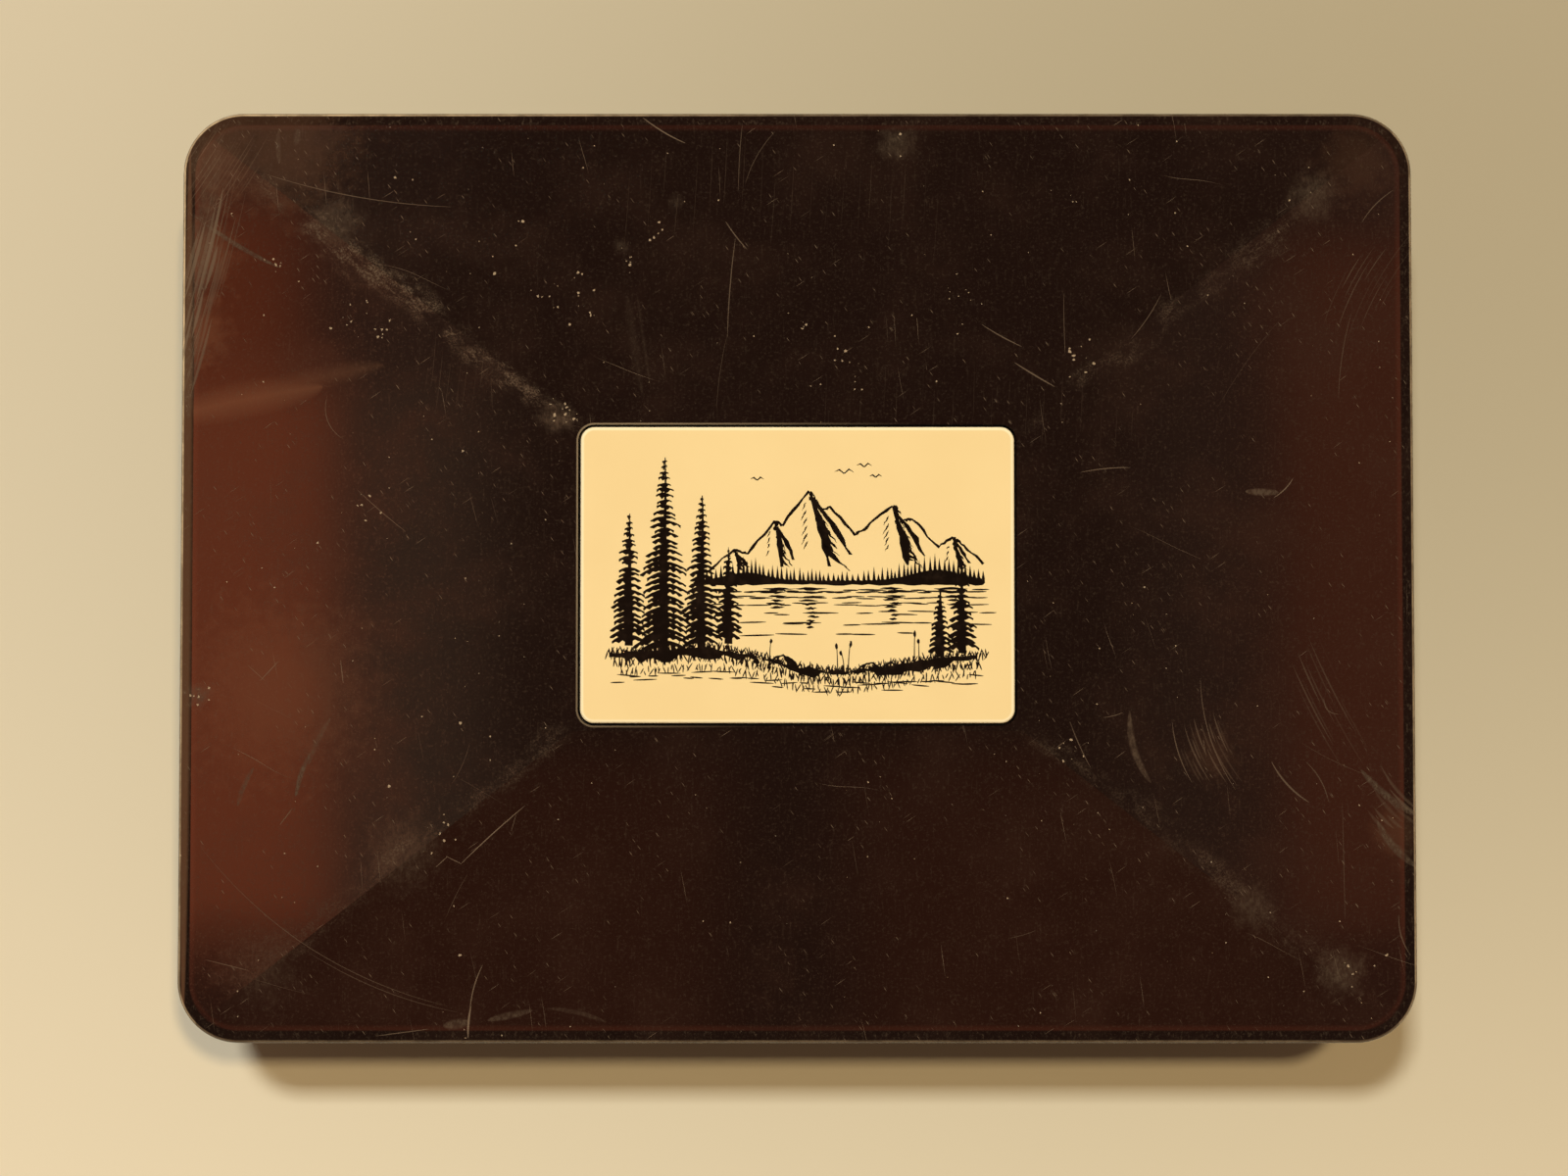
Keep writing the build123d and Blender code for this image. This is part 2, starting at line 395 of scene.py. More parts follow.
class Scratches(Effect):
    """Short tapered scratches that all run one way, picked at random and gathered in bundles."""

    title = "scratches"
    inputs = (
        Port("Place", VECTOR),
        Port("Angle", value=0.0),
        Port("Length", value=6.0),
        Port("Width", value=0.15),
        Port("Share", value=0.05),
        Port("Bend", value=0.6),
    )

    def build(self, graph: Graph, given: object) -> dict[str, Socket]:
        """Adds stretched cells, each of which may hold one scratch.

        Args:
            graph: The graph that the nodes go into.
            given: The group's inputs.

        Returns:
            The mask by its name.
        """
        drift = graph.add("ShaderNodeTexNoise", Vector=given["Place"], Scale=0.05, Detail=1.0)
        bend = graph.vector("SUBTRACT", drift.outputs["Color"], (0.5, 0.5, 0.5))
        bent = graph.vector(
            "ADD", given["Place"], graph.scaled(bend, graph.times(given["Bend"], given["Length"])))
        turned = graph.add("ShaderNodeVectorRotate", {"rotation_type": "Z_AXIS"}, Vector=bent,
                           Angle=given["Angle"]).outputs[0]
        x, y, _ = graph.split(turned)
        cell = graph.join(graph.math("DIVIDE", x, given["Length"]),
                          graph.math("DIVIDE", y, given["Width"]), 0.0)
        near = graph.add("ShaderNodeTexVoronoi", {"voronoi_dimensions": "2D"}, Vector=cell, Scale=1.0)
        chance, depth, _ = graph.split(near.outputs["Color"])
        picked = graph.math("LESS_THAN", chance, given["Share"])
        body = graph.rest(graph.step(near.outputs["Distance"], 0.1, 0.42))
        deep = graph.math("ADD", 0.25, graph.times(depth, 0.75))
        return {"Mask": graph.times(body, picked, deep)}


class Specks(Effect):
    """Small specks of dust or chipped finish, each in its own cell."""

    title = "specks"
    inputs = (
        Port("Place", VECTOR),
        Port("Spacing", value=2.0),
        Port("Size", value=0.1),
        Port("Share", value=0.2),
    )

    def build(self, graph: Graph, given: object) -> dict[str, Socket]:
        """Adds cells and a ragged spot in some of them.

        Args:
            graph: The graph that the nodes go into.
            given: The group's inputs.

        Returns:
            The mask by its name.
        """
        rough = graph.add("ShaderNodeTexNoise", Vector=given["Place"], Scale=4.0, Detail=1.0)
        shake = graph.scaled(
            graph.vector("SUBTRACT", rough.outputs["Color"], (0.5, 0.5, 0.5)),
            graph.times(given["Size"], 2.2))
        place = graph.vector("ADD", given["Place"], shake)
        spacing = given["Spacing"]
        cell = graph.vector("DIVIDE", place, graph.join(spacing, spacing, spacing))
        near = graph.add("ShaderNodeTexVoronoi", {"voronoi_dimensions": "3D"}, Vector=cell, Scale=1.0)
        chance, size, _ = graph.split(near.outputs["Color"])
        picked = graph.math("LESS_THAN", chance, given["Share"])
        away = graph.times(near.outputs["Distance"], spacing)
        reach = graph.times(given["Size"], graph.math("ADD", 0.4, size))
        spot = graph.math("LESS_THAN", away, reach)
        return {"Mask": graph.times(spot, picked)}


class RimDistance(Effect):
    """How far a place is inside a rectangle with rounded corners, in millimetres."""

    title = "rim distance"
    inputs = (
        Port("Place", VECTOR),
        Port("Half Width", value=65.0),
        Port("Half Depth", value=49.0),
        Port("Corner Radius", value=6.45),
    )
    outputs = (Port("Inside"),)

    def build(self, graph: Graph, given: object) -> dict[str, Socket]:
        """Adds the distance to the outline, worked out from the nearest corner's centre.

        Args:
            graph: The graph that the nodes go into.
            given: The group's inputs.

        Returns:
            The distance to the outline, more than 0 inside it.
        """
        x, y, _ = graph.split(given["Place"])
        half_x = graph.math("SUBTRACT", given["Half Width"], given["Corner Radius"])
        half_y = graph.math("SUBTRACT", given["Half Depth"], given["Corner Radius"])
        past_x = graph.math("SUBTRACT", graph.math("ABSOLUTE", x), half_x)
        past_y = graph.math("SUBTRACT", graph.math("ABSOLUTE", y), half_y)
        corner = graph.join(graph.math("MAXIMUM", past_x, 0.0), graph.math("MAXIMUM", past_y, 0.0), 0.0)
        outside = graph.vector("LENGTH", corner, out="Value")
        within = graph.math("MINIMUM", graph.math("MAXIMUM", past_x, past_y), 0.0)
        signed = graph.math("SUBTRACT", graph.math("ADD", outside, within), given["Corner Radius"])
        return {"Inside": graph.times(signed, -1.0)}


class LineMark(Effect):
    """One thin mark along a straight or slightly bowed line, tapered at both ends."""

    title = "line mark"
    inputs = (
        Port("Place", VECTOR),
        Port("Start", VECTOR),
        Port("Along", VECTOR),
        Port("Across", VECTOR),
        Port("Length", value=5.0),
        Port("Bow", value=0.0),
        Port("Half Width", value=0.05),
        Port("Crisp", value=2.0),
    )

    def build(self, graph: Graph, given: object) -> dict[str, Socket]:
        """Adds the distance from the line, measured against its width there.

        Args:
            graph: The graph that the nodes go into.
            given: The group's inputs.

        Returns:
            The mask by its name.
        """
        here = graph.vector("SUBTRACT", given["Place"], given["Start"])
        share = graph.math("DIVIDE", graph.vector("DOT_PRODUCT", here, given["Along"], out="Value"),
                           given["Length"])
        arch = graph.times(share, 4.0, graph.rest(share))
        bulge = graph.math("MAXIMUM", arch, 0.0)
        off = graph.vector("DOT_PRODUCT", here, given["Across"], out="Value")
        bowed = graph.math("ABSOLUTE", graph.math("SUBTRACT", off, graph.times(bulge, given["Bow"])))
        width = graph.math("MULTIPLY_ADD", graph.math("SQRT", bulge), given["Half Width"], 0.0005)
        near = graph.rest(graph.math("DIVIDE", bowed, width))
        return {"Mask": graph.times(near, given["Crisp"], clamp=True)}


class ScratchBundle(Effect):
    """A sheaf of near-parallel scratches, as a box rubbed against something leaves."""

    title = "scratch bundle"
    inputs = (
        Port("Place", VECTOR),
        Port("Middle", VECTOR),
        Port("Angle", value=0.0),
        Port("Length", value=10.0),
        Port("Spread", value=5.0),
        Port("Spacing", value=0.5),
        Port("Width", value=0.1),
        Port("Bow", value=0.0),
        Port("Seed", value=1.0),
    )

    def build(self, graph: Graph, given: object) -> dict[str, Socket]:
        """Adds one line in each lane across the sheaf, with chance lengths and places.

        Args:
            graph: The graph that the nodes go into.
            given: The group's inputs.

        Returns:
            The mask by its name.
        """
        here = graph.vector("SUBTRACT", given["Place"], given["Middle"])
        turned = graph.add("ShaderNodeVectorRotate", {"rotation_type": "Z_AXIS", "invert": True},
                           Vector=here, Angle=given["Angle"]).outputs[0]
        u, v, _ = graph.split(turned)
        reach = graph.math("DIVIDE", u, graph.times(given["Length"], 0.5))
        bent = graph.math("SUBTRACT", v, graph.times(given["Bow"], graph.times(reach, reach)))
        lane = graph.math("FLOOR", graph.math("DIVIDE", bent, given["Spacing"]))
        draw = graph.add("ShaderNodeTexWhiteNoise", {"noise_dimensions": "1D"},
                         W=graph.math("MULTIPLY_ADD", given["Seed"], 17.31, lane))
        first, second, third = graph.split(draw.outputs["Color"])
        middle = graph.times(
            given["Spacing"], graph.math("ADD", lane, graph.math("MULTIPLY_ADD", first, 0.5, 0.25)))
        tilt = graph.times(graph.math("SUBTRACT", second, 0.5), 0.035)
        off = graph.math("SUBTRACT", graph.math("SUBTRACT", bent, middle), graph.times(tilt, u))
        away = graph.math("ABSOLUTE", off)
        shift = graph.times(graph.math("SUBTRACT", third, 0.5), 0.9)
        size = graph.math("MULTIPLY_ADD", second, 0.55, 0.25)
        part = graph.math("DIVIDE", graph.math("SUBTRACT", reach, shift), size)
        taper = graph.math("MAXIMUM", graph.rest(graph.times(part, part)), 0.0)
        width = graph.math("MULTIPLY_ADD", graph.times(taper, given["Width"]), 0.5, 0.0005)
        line = graph.times(graph.rest(graph.math("DIVIDE", away, width)), 2.0, clamp=True)
        from_middle = graph.math("ABSOLUTE", bent)
        inner, outer = graph.times(given["Spread"], 0.35), graph.times(given["Spread"], 0.5)
        within = graph.rest(graph.step(from_middle, inner, outer))
        return {"Mask": graph.times(line, within, graph.math("MULTIPLY_ADD", first, 0.75, 0.25))}


class Spot(Effect):
    """A soft round patch about one place."""

    title = "soft spot"
    inputs = (Port("Place", VECTOR), Port("Middle", VECTOR), Port("Reach", value=2.0))

    def build(self, graph: Graph, given: object) -> dict[str, Socket]:
        """Adds a mask that falls from the middle to the reach.

        Args:
            graph: The graph that the nodes go into.
            given: The group's inputs.

        Returns:
            The mask by its name.
        """
        away = graph.vector("DISTANCE", given["Place"], given["Middle"], out="Value")
        ragged = graph.math("MULTIPLY_ADD", graph.noise(given["Place"], 0.7, 3.0, 0.6), -1.8, 1.9)
        share = graph.math("DIVIDE", graph.times(away, ragged), given["Reach"])
        return {"Mask": graph.rest(graph.step(share, 0.1, 1.0))}


class RidgeScuff(Effect):
    """Grey rubbed patches along the four ridges of a hipped lid, each as strong as it is told."""

    title = "ridge scuff"
    inputs = (
        Port("Place", VECTOR),
        Port("Inner", VECTOR),
        Port("Outer", VECTOR),
        Port("Left Rear", value=1.0),
        Port("Right Rear", value=0.5),
        Port("Left Front", value=0.4),
        Port("Right Front", value=0.4),
    )

    def build(self, graph: Graph, given: object) -> dict[str, Socket]:
        """Adds the distance from the nearest ridge, broken up by noise.

        Args:
            graph: The graph that the nodes go into.
            given: The group's inputs.

        Returns:
            The mask by its name.
        """
        x, y, _ = graph.split(given["Place"])
        folded = graph.join(graph.math("ABSOLUTE", x), graph.math("ABSOLUTE", y), 0.0)
        run = graph.vector("SUBTRACT", given["Outer"], given["Inner"])
        along = graph.vector("NORMALIZE", run)
        here = graph.vector("SUBTRACT", folded, given["Inner"])
        share = graph.math("DIVIDE", graph.vector("DOT_PRODUCT", here, along, out="Value"),
                           graph.vector("LENGTH", run, out="Value"))
        across = graph.vector("CROSS_PRODUCT", along, (0.0, 0.0, 1.0))
        off = graph.vector("DOT_PRODUCT", here, across, out="Value")
        right = graph.math("GREATER_THAN", x, 0.0)
        rear = graph.math("GREATER_THAN", y, 0.0)
        strength = graph.mix(rear, graph.mix(right, given["Left Front"], given["Right Front"]),
                             graph.mix(right, given["Left Rear"], given["Right Rear"]))
        length = graph.vector("LENGTH", run, out="Value")
        streak = graph.join(graph.times(share, length, 0.45), off, strength)
        drift = graph.math("MULTIPLY_ADD", graph.noise(given["Place"], 0.11, 3.0, 0.6), 5.0, -3.2)
        away = graph.math("ABSOLUTE", graph.math("ADD", off, drift))
        wide = graph.math("MULTIPLY_ADD", share, 2.2, 1.25)
        band = graph.rest(graph.step(away, 0.0, wide))
        ends = graph.times(graph.step(share, -0.05, 0.08), graph.rest(graph.step(share, 0.62, 0.92)))
        patches = graph.step(graph.noise(given["Place"], 0.20, 3.0, 0.6), 0.36, 0.58)
        clumps = graph.step(graph.noise(streak, 1.0, 4.0, 0.78), 0.43, 0.58)
        grain = graph.step(graph.noise(given["Place"], 4.2, 2.0, 0.8), 0.45, 0.60)
        film = graph.times(
            graph.math("MULTIPLY_ADD", clumps, 0.88, 0.12), graph.math("MULTIPLY_ADD", grain, 1.15, 0.3))
        rubbed = graph.times(band, ends, graph.times(patches, film))
        return {"Mask": graph.times(rubbed, strength, clamp=True)}


def new_material(name: str) -> tuple[bpy.types.Material, Graph, bpy.types.Node]:
    """Makes a material with an empty graph and its Principled shader.

    Args:
        name: The material's name.

    Returns:
        The material, its graph and the shader node.
    """
    material = bpy.data.materials.new(name)
    material.use_nodes = True
    tree = material.node_tree
    shader = next(node for node in tree.nodes if node.type == "BSDF_PRINCIPLED")
    return material, Graph(tree), shader


def coordinates(graph: Graph) -> tuple[Socket, Socket]:
    """Gives a material's Object coordinates and its normals in the object's own space."""
    node = graph.add("ShaderNodeTexCoord")
    return node.outputs["Object"], node.outputs["Normal"]


def solid_place(graph: Graph) -> Socket:
    """Gives a material's place in space, in millimetres."""
    return graph.scaled(coordinates(graph)[0], 1 / MM)


@dataclass(frozen=True)
class Mark:
    """One scratch that the photograph shows, by its ends in the photograph's pixels."""

    start: Place
    end: Place
    bow: float = 0.0
    half_width: float = 0.05
    strength: float = 0.5
    crisp: float = 2.0

    def place(self, graph: Graph, flat: Socket) -> Socket:
        """Puts the mark into a material and gives its mask.

        Args:
            graph: The graph that the nodes go into.
            flat: The place on the surface, in millimetres.

        Returns:
            The mask.
        """
        start, end = Vector(from_photo(*self.start)), Vector(from_photo(*self.end))
        along = (end - start).normalized()
        line = LineMark().place(graph, Place=flat, Start=(*start, 0.0), Along=(*along, 0.0),
                                Across=(along.y, -along.x, 0.0), Length=(end - start).length,
                                Bow=self.bow, Half_Width=self.half_width, Crisp=self.crisp).outputs[0]
        return graph.times(line, self.strength)


@dataclass(frozen=True)
class Bundle:
    """One sheaf of scratches that the photograph shows; its middle is in pixels."""

    middle: Place
    angle: float
    length: float
    spread: float
    spacing: float
    width: float
    bow: float
    seed: float
    strength: float

    def place(self, graph: Graph, flat: Socket) -> Socket:
        """Puts the sheaf into a material and gives its mask.

        Args:
            graph: The graph that the nodes go into.
            flat: The place on the surface, in millimetres.

        Returns:
            The mask.
        """
        lines = ScratchBundle().place(graph, Place=flat, Middle=(*from_photo(*self.middle), 0.0),
                                      Angle=math.radians(self.angle), Length=self.length,
                                      Spread=self.spread, Spacing=self.spacing, Width=self.width,
                                      Bow=self.bow, Seed=self.seed).outputs[0]
        return graph.times(lines, self.strength)


@dataclass(frozen=True)
class Patch:
    """One place that is chipped or rubbed dull; its middle is in pixels."""

    middle: Place
    reach: float
    strength: float = 1.0

    def place(self, graph: Graph, flat: Socket) -> Socket:
        """Puts the patch into a material and gives its mask.

        Args:
            graph: The graph that the nodes go into.
            flat: The place on the surface, in millimetres.

        Returns:
            The mask.
        """
        spot = Spot().place(graph, Place=flat, Middle=(*from_photo(*self.middle), 0.0),
                            Reach=self.reach).outputs[0]
        return graph.times(spot, self.strength)


@dataclass(frozen=True)
class Wear:
    """What a long life has left on the lid's top, with a few painted reflection streaks among the films.
    """

    marks: tuple[Mark, ...] = ()
    smears: tuple[Mark, ...] = ()
    bundles: tuple[Bundle, ...] = ()
    chipped: tuple[Patch, ...] = ()
    rubbed: tuple[Patch, ...] = ()
    films_and_reflections: tuple[Mark | Patch, ...] = ()


def placed_on(graph: Graph, flat: Socket, parts: tuple[Mark | Bundle | Patch, ...]) -> Socket:
    """Puts marks, sheaves or patches into a material and gives the strongest at each place.

    Args:
        graph: The graph that the nodes go into.
        flat: The place on the surface, in millimetres.
        parts: The marks, sheaves or patches.

    Returns:
        One mask of them all.
    """
    return graph.strongest(part.place(graph, flat) for part in parts)


@dataclass(frozen=True)
class CasePlastic:
    """Dark oxblood-brown moulded plastic, glossy where it isn't rubbed; lengths in millimetres."""

    name: str
    amount: float = 1.0
    wear: Wear | None = None
    deep: Colour = (0.0085, 0.0026, 0.0016, 1.0)
    hazy: Colour = (0.0125, 0.0039, 0.0024, 1.0)
    # Painted reflection: the colour of the thin reddish line just inside the rim.
    rim_reflection_red: Colour = (0.024, 0.0062, 0.0036, 1.0)
    # Tan of the rubbed film, also used for the painted reflection streaks on the left facet.
    film_tan_and_reflection: Colour = (0.20, 0.095, 0.050, 1.0)
    # Pale colour of the painted highlights along the upper edge and the recess edge; on the upper edge it
    # is partly bare worn plastic too.
    bare_edge_and_highlight: Colour = (0.86, 0.67, 0.43, 1.0)
    rubbed_grey: Colour = (0.120, 0.088, 0.060, 1.0)
    scratch_grey: Colour = (0.170, 0.125, 0.086, 1.0)
    dust_grey: Colour = (0.4, 0.31, 0.21, 1.0)
    edge_top: float = 21.7
    edge_side: float = 63.0
    facet_foot: Place = (63.6, 47.6)
    plaque_land: Place = (23.5, 16.3)
    recess_half: Place = (22.95, 15.75)
    recess_corner: float = 1.7

    def build(self) -> bpy.types.Material:
        """Builds the material.

        Returns:
            The material.
        """
        material, graph, shader = new_material(self.name)
        place, normal = coordinates(graph)
        where = SurfacePlace().place(graph, Object=place, Normal=normal).outputs
        flat, solid, upward = where["Flat"], where["Solid"], where["Upward"]
        haze = graph.step(graph.noise(solid, 0.10, 4.0, 0.62), 0.42, 0.80)
        grain = graph.noise(solid, 3.4, 3.0, 0.75)
        colour = graph.mix_colour(haze, self.deep, self.hazy)
        rubbed = graph.times(haze, 0.03 * self.amount)
        chipped = 0.0
        scratched = self.scratched(graph, flat)
        if self.wear:
            rubbed = graph.math("ADD", rubbed, graph.times(upward, self.rubbed_top(graph, flat)))
            placed = graph.math("MAXIMUM", placed_on(graph, flat, self.wear.marks),
                                placed_on(graph, flat, self.wear.bundles))
            scratched = graph.math("MAXIMUM", scratched, graph.times(upward, placed))
            chipped = graph.times(upward, placed_on(graph, flat, self.wear.chipped))
            # The thin reddish line inside the rim is a painted reflection.
            line = graph.times(upward, self.rim_reflection_line(graph, flat))
            colour = graph.mix_colour(line, colour, self.rim_reflection_red)
            # Tan film and haze, with painted reflection streaks on the left facet.
            film = graph.times(upward, placed_on(graph, flat, self.wear.films_and_reflections))
            colour = graph.mix_colour(film, colour, self.film_tan_and_reflection)
            # Pale lines: painted highlights along the upper edge, partly edge wear there, and along the
            # recess edge.
            pale = graph.math("MAXIMUM", self.edge_wear_and_highlight(graph, solid),
                              graph.times(upward, self.recess_highlight(graph, flat)))
            colour = graph.mix_colour(pale, colour, self.bare_edge_and_highlight)
        crowds = (
            (1.2, 0.065, 0.32 * self.amount),
            (3.6, 0.12, 0.32 * self.amount),
            (0.42, 0.12, graph.times(chipped, 0.70)),
        )
        dust = graph.strongest(
            Specks().place(graph, Place=solid, Spacing=spacing, Size=size, Share=share).outputs[0]
            for spacing, size, share in crowds)
        rubbed = graph.math("ADD", rubbed, graph.times(graph.step(grain, 0.5, 0.8), 0.2 * self.amount))
        brushed = graph.noise(graph.vector("MULTIPLY", flat, (1.0, 0.11, 1.0)), 3.6, 3.0, 0.7)
        rubbed = graph.math(
            "ADD", rubbed, graph.times(graph.step(brushed, 0.56, 0.76), 0.1 * self.amount))
        colour = graph.mix_colour(rubbed, colour, self.rubbed_grey)
        colour = graph.mix_colour(scratched, colour, self.scratch_grey)
        colour = graph.mix_colour(graph.times(dust, 0.85), colour, self.dust_grey)
        rough = graph.math("MULTIPLY_ADD", haze, 0.06, 0.09)
        rough = graph.mix(graph.times(rubbed, 1.5, clamp=True), rough, 0.45)
        rough = graph.mix(graph.math("MAXIMUM", scratched, dust), rough, 0.55)
        ripple = graph.math(
            "MULTIPLY_ADD", graph.noise(solid, 0.14, 1.0, 0.5), 0.006,
            graph.times(graph.noise(solid, 4.0, 1.0), 0.0006))
        bump = graph.add("ShaderNodeBump", Height=ripple, Distance=MM, Strength=0.7).outputs[0]
        graph.supply(shader, Base_Color=colour, Roughness=rough, Normal=bump, IOR=1.5)
        return material

    def scratched(self, graph: Graph, flat: Socket) -> Socket:
        """Gives the mask of the random fine scratches, in several directions and lengths.

        Args:
            graph: The graph that the nodes go into.
            flat: The place on the surface, in millimetres.

        Returns:
            The mask.
        """
        busy = graph.step(graph.noise(flat, 0.045, 1.0), 0.38, 0.66)
        crowd = graph.math("MULTIPLY_ADD", busy, 1.7, 0.25)
        families = (
            (0.35, 12.0, 0.060, 0.0006),
            (1.42, 6.0, 0.055, 0.0016),
            (2.55, 2.2, 0.060, 0.0022),
            (0.95, 0.9, 0.090, 0.0085),
        )
        return graph.strongest(
            Scratches().place(graph, Place=flat, Angle=angle, Length=length, Width=width,
                              Share=graph.times(crowd, share * self.amount)).outputs[0]
            for angle, length, width, share in families)

    def rubbed_top(self, graph: Graph, flat: Socket) -> Socket:
        """Gives the mask of the rubbed ridges, the worn rim and the dull patches and smears.

        Args:
            graph: The graph that the nodes go into.
            flat: The place on the surface, in millimetres.

        Returns:
            The mask.
        """
        ridge = RidgeScuff().place(
            graph, Place=flat, Inner=(*self.plaque_land, 0.0), Outer=(*self.facet_foot, 0.0),
            Left_Rear=0.62, Right_Rear=0.24, Left_Front=0.22, Right_Front=0.20).outputs[0]
        inside = RimDistance().place(graph, Place=flat).outputs[0]
        band = graph.times(graph.step(inside, 0.3, 0.6), graph.rest(graph.step(inside, 1.1, 1.5)))
        streaky = graph.noise(graph.vector("MULTIPLY", flat, (1.6, 0.8, 1.0)), 1.5, 4.0, 0.75)
        torn = graph.math("MULTIPLY_ADD", graph.step(streaky, 0.40, 0.66), 0.7, 0.3)
        rim = graph.times(band, graph.step(streaky, 0.54, 0.66), 0.22)
        patches = graph.math("MAXIMUM", placed_on(graph, flat, self.wear.smears),
                             placed_on(graph, flat, self.wear.rubbed))
        dull = graph.times(patches, torn)
        return graph.math("ADD", graph.math("ADD", ridge, rim), dull)

    def edge_wear_and_highlight(self, graph: Graph, solid: Socket) -> Socket:
        """Gives the mask of the pale line along the lid's upper edge, partly bare worn plastic and partly
        a painted highlight, palest at its left rear corner and along the sides where the light falls.

        Args:
            graph: The graph that the nodes go into.
            solid: The place in space, in millimetres.

        Returns:
            The mask.
        """
        inside = RimDistance().place(graph, Place=solid).outputs[0]
        line = graph.times(graph.step(inside, 0.07, 0.17), graph.rest(graph.step(inside, 0.24, 0.4)))
        top = graph.step(graph.split(solid)[2], self.edge_top - 0.6, self.edge_top - 0.3)
        # Painted highlight: brighter toward the left rear corner and on the sides, where the light falls.
        toward = graph.vector("DOT_PRODUCT", solid, (-0.7, 0.7, 0.0), out="Value")
        corner = graph.step(toward, 25.0, 72.0)
        away = graph.math("ABSOLUTE", graph.split(solid)[0])
        sides = graph.math("GREATER_THAN", away, self.edge_side)
        ragged = graph.step(graph.noise(solid, 0.35, 4.0, 0.7), 0.35, 0.62)
        broken = graph.math("MULTIPLY_ADD", ragged, 0.5, 0.5)
        strength = graph.math("MULTIPLY_ADD", sides, 0.22, graph.math("MULTIPLY_ADD", corner, 0.5, 0.16))
        return graph.times(line, top, graph.times(strength, broken))

    def recess_highlight(self, graph: Graph, flat: Socket) -> Socket:
        """Gives the mask of a painted highlight: the pale line along the edge of the plaque's recess, on
        its left and rear where light catches it.

        Args:
            graph: The graph that the nodes go into.
            flat: The place on the surface, in millimetres.

        Returns:
            The mask.
        """
        half_width, half_depth = self.recess_half
        inside = RimDistance().place(graph, Place=flat, Half_Width=half_width, Half_Depth=half_depth,
                                     Corner_Radius=self.recess_corner).outputs[0]
        line = graph.times(graph.step(inside, -0.22, -0.12), graph.math("LESS_THAN", inside, 0.02))
        # Painted highlight, strongest toward the left rear where the light falls.
        lit = graph.step(graph.vector("DOT_PRODUCT", flat, (-1.0, 0.5, 0.0), out="Value"), -6.0, 28.0)
        return graph.times(line, graph.times(lit, 0.26))

    def rim_reflection_line(self, graph: Graph, flat: Socket) -> Socket:
        """Gives the mask of the thin reddish line just inside the rim, a painted reflection.

        Args:
            graph: The graph that the nodes go into.
            flat: The place on the surface, in millimetres.

        Returns:
            The mask.
        """
        inside = RimDistance().place(graph, Place=flat).outputs[0]
        return graph.times(graph.step(inside, 1.25, 1.45), graph.rest(graph.step(inside, 1.6, 2.1)))


@dataclass(frozen=True)
class IvoryPlastic:
    """The plaque's smooth warm ivory plastic."""

    name: str = "ivory_plastic"
    size: Place = (45.4, 31.0)
    corner: float = 1.45
    shade: Colour = (0.885, 0.705, 0.375, 1.0)
    light: Colour = (0.905, 0.73, 0.395, 1.0)
    # Painted highlight along the plaque's rounded lip.
    lip_highlight: Colour = (1.0, 0.90, 0.62, 1.0)
    dirt_brown: Colour = (0.35, 0.24, 0.12, 1.0)

    def build(self) -> bpy.types.Material:
        """Builds the material.

        Returns:
            The material.
        """
        material, graph, shader = new_material(self.name)
        solid = solid_place(graph)
        cloud = graph.step(graph.noise(solid, 0.09, 3.0, 0.5), 0.3, 0.75)
        colour = graph.mix_colour(cloud, self.shade, self.light)
        inside = RimDistance().place(graph, Place=solid, Half_Width=self.size[0] / 2,
                                     Half_Depth=self.size[1] / 2, Corner_Radius=self.corner).outputs[0]
        # Painted highlight: the plaque's lip is paler all round.
        lip = graph.rest(graph.step(inside, 0.22, 0.48))
        colour = graph.mix_colour(lip, colour, self.lip_highlight)
        dirt = Specks().place(graph, Place=solid, Spacing=3.0, Size=0.06, Share=0.06).outputs[0]
        colour = graph.mix_colour(graph.times(dirt, 0.4), colour, self.dirt_brown)
        rough = graph.mix(cloud, 0.30, 0.38)
        bump = graph.add("ShaderNodeBump", Height=graph.noise(solid, 0.5, 2.0), Distance=MM * 0.02)
        graph.supply(shader, Base_Color=colour, Roughness=rough, Normal=bump.outputs[0])
        return material


@dataclass(frozen=True)
class Steel:
    """The bright drawn wire of the hinge pins."""

    name: str = "drawn_steel"
    dark: Colour = (0.50, 0.49, 0.47, 1.0)
    bright: Colour = (0.66, 0.65, 0.63, 1.0)

    def build(self) -> bpy.types.Material:
        """Builds the material.

        Returns:
            The material.
        """
        material, graph, shader = new_material(self.name)
        x, y, z = graph.split(solid_place(graph))
        lines = graph.noise(graph.join(graph.times(x, 0.15), y, z), 9.0, 3.0)
        graph.supply(shader, Base_Color=graph.mix_colour(lines, self.dark, self.bright),
                     Roughness=graph.mix(lines, 0.25, 0.42), Metallic=1.0)
        return material


@dataclass(frozen=True)
class GlueFilm:
    """The dull amber film under the plaque."""

    name: str = "glue_film"
    thick: Colour = (0.42, 0.28, 0.10, 1.0)
    thin: Colour = (0.55, 0.40, 0.18, 1.0)

    def build(self) -> bpy.types.Material:
        """Builds the material.

        Returns:
            The material.
        """
        material, graph, shader = new_material(self.name)
        streaks = graph.noise(solid_place(graph), 0.4, 3.0)
        graph.supply(shader, Base_Color=graph.mix_colour(streaks, self.thick, self.thin),
                     Roughness=graph.mix(streaks, 0.5, 0.7))
        return material


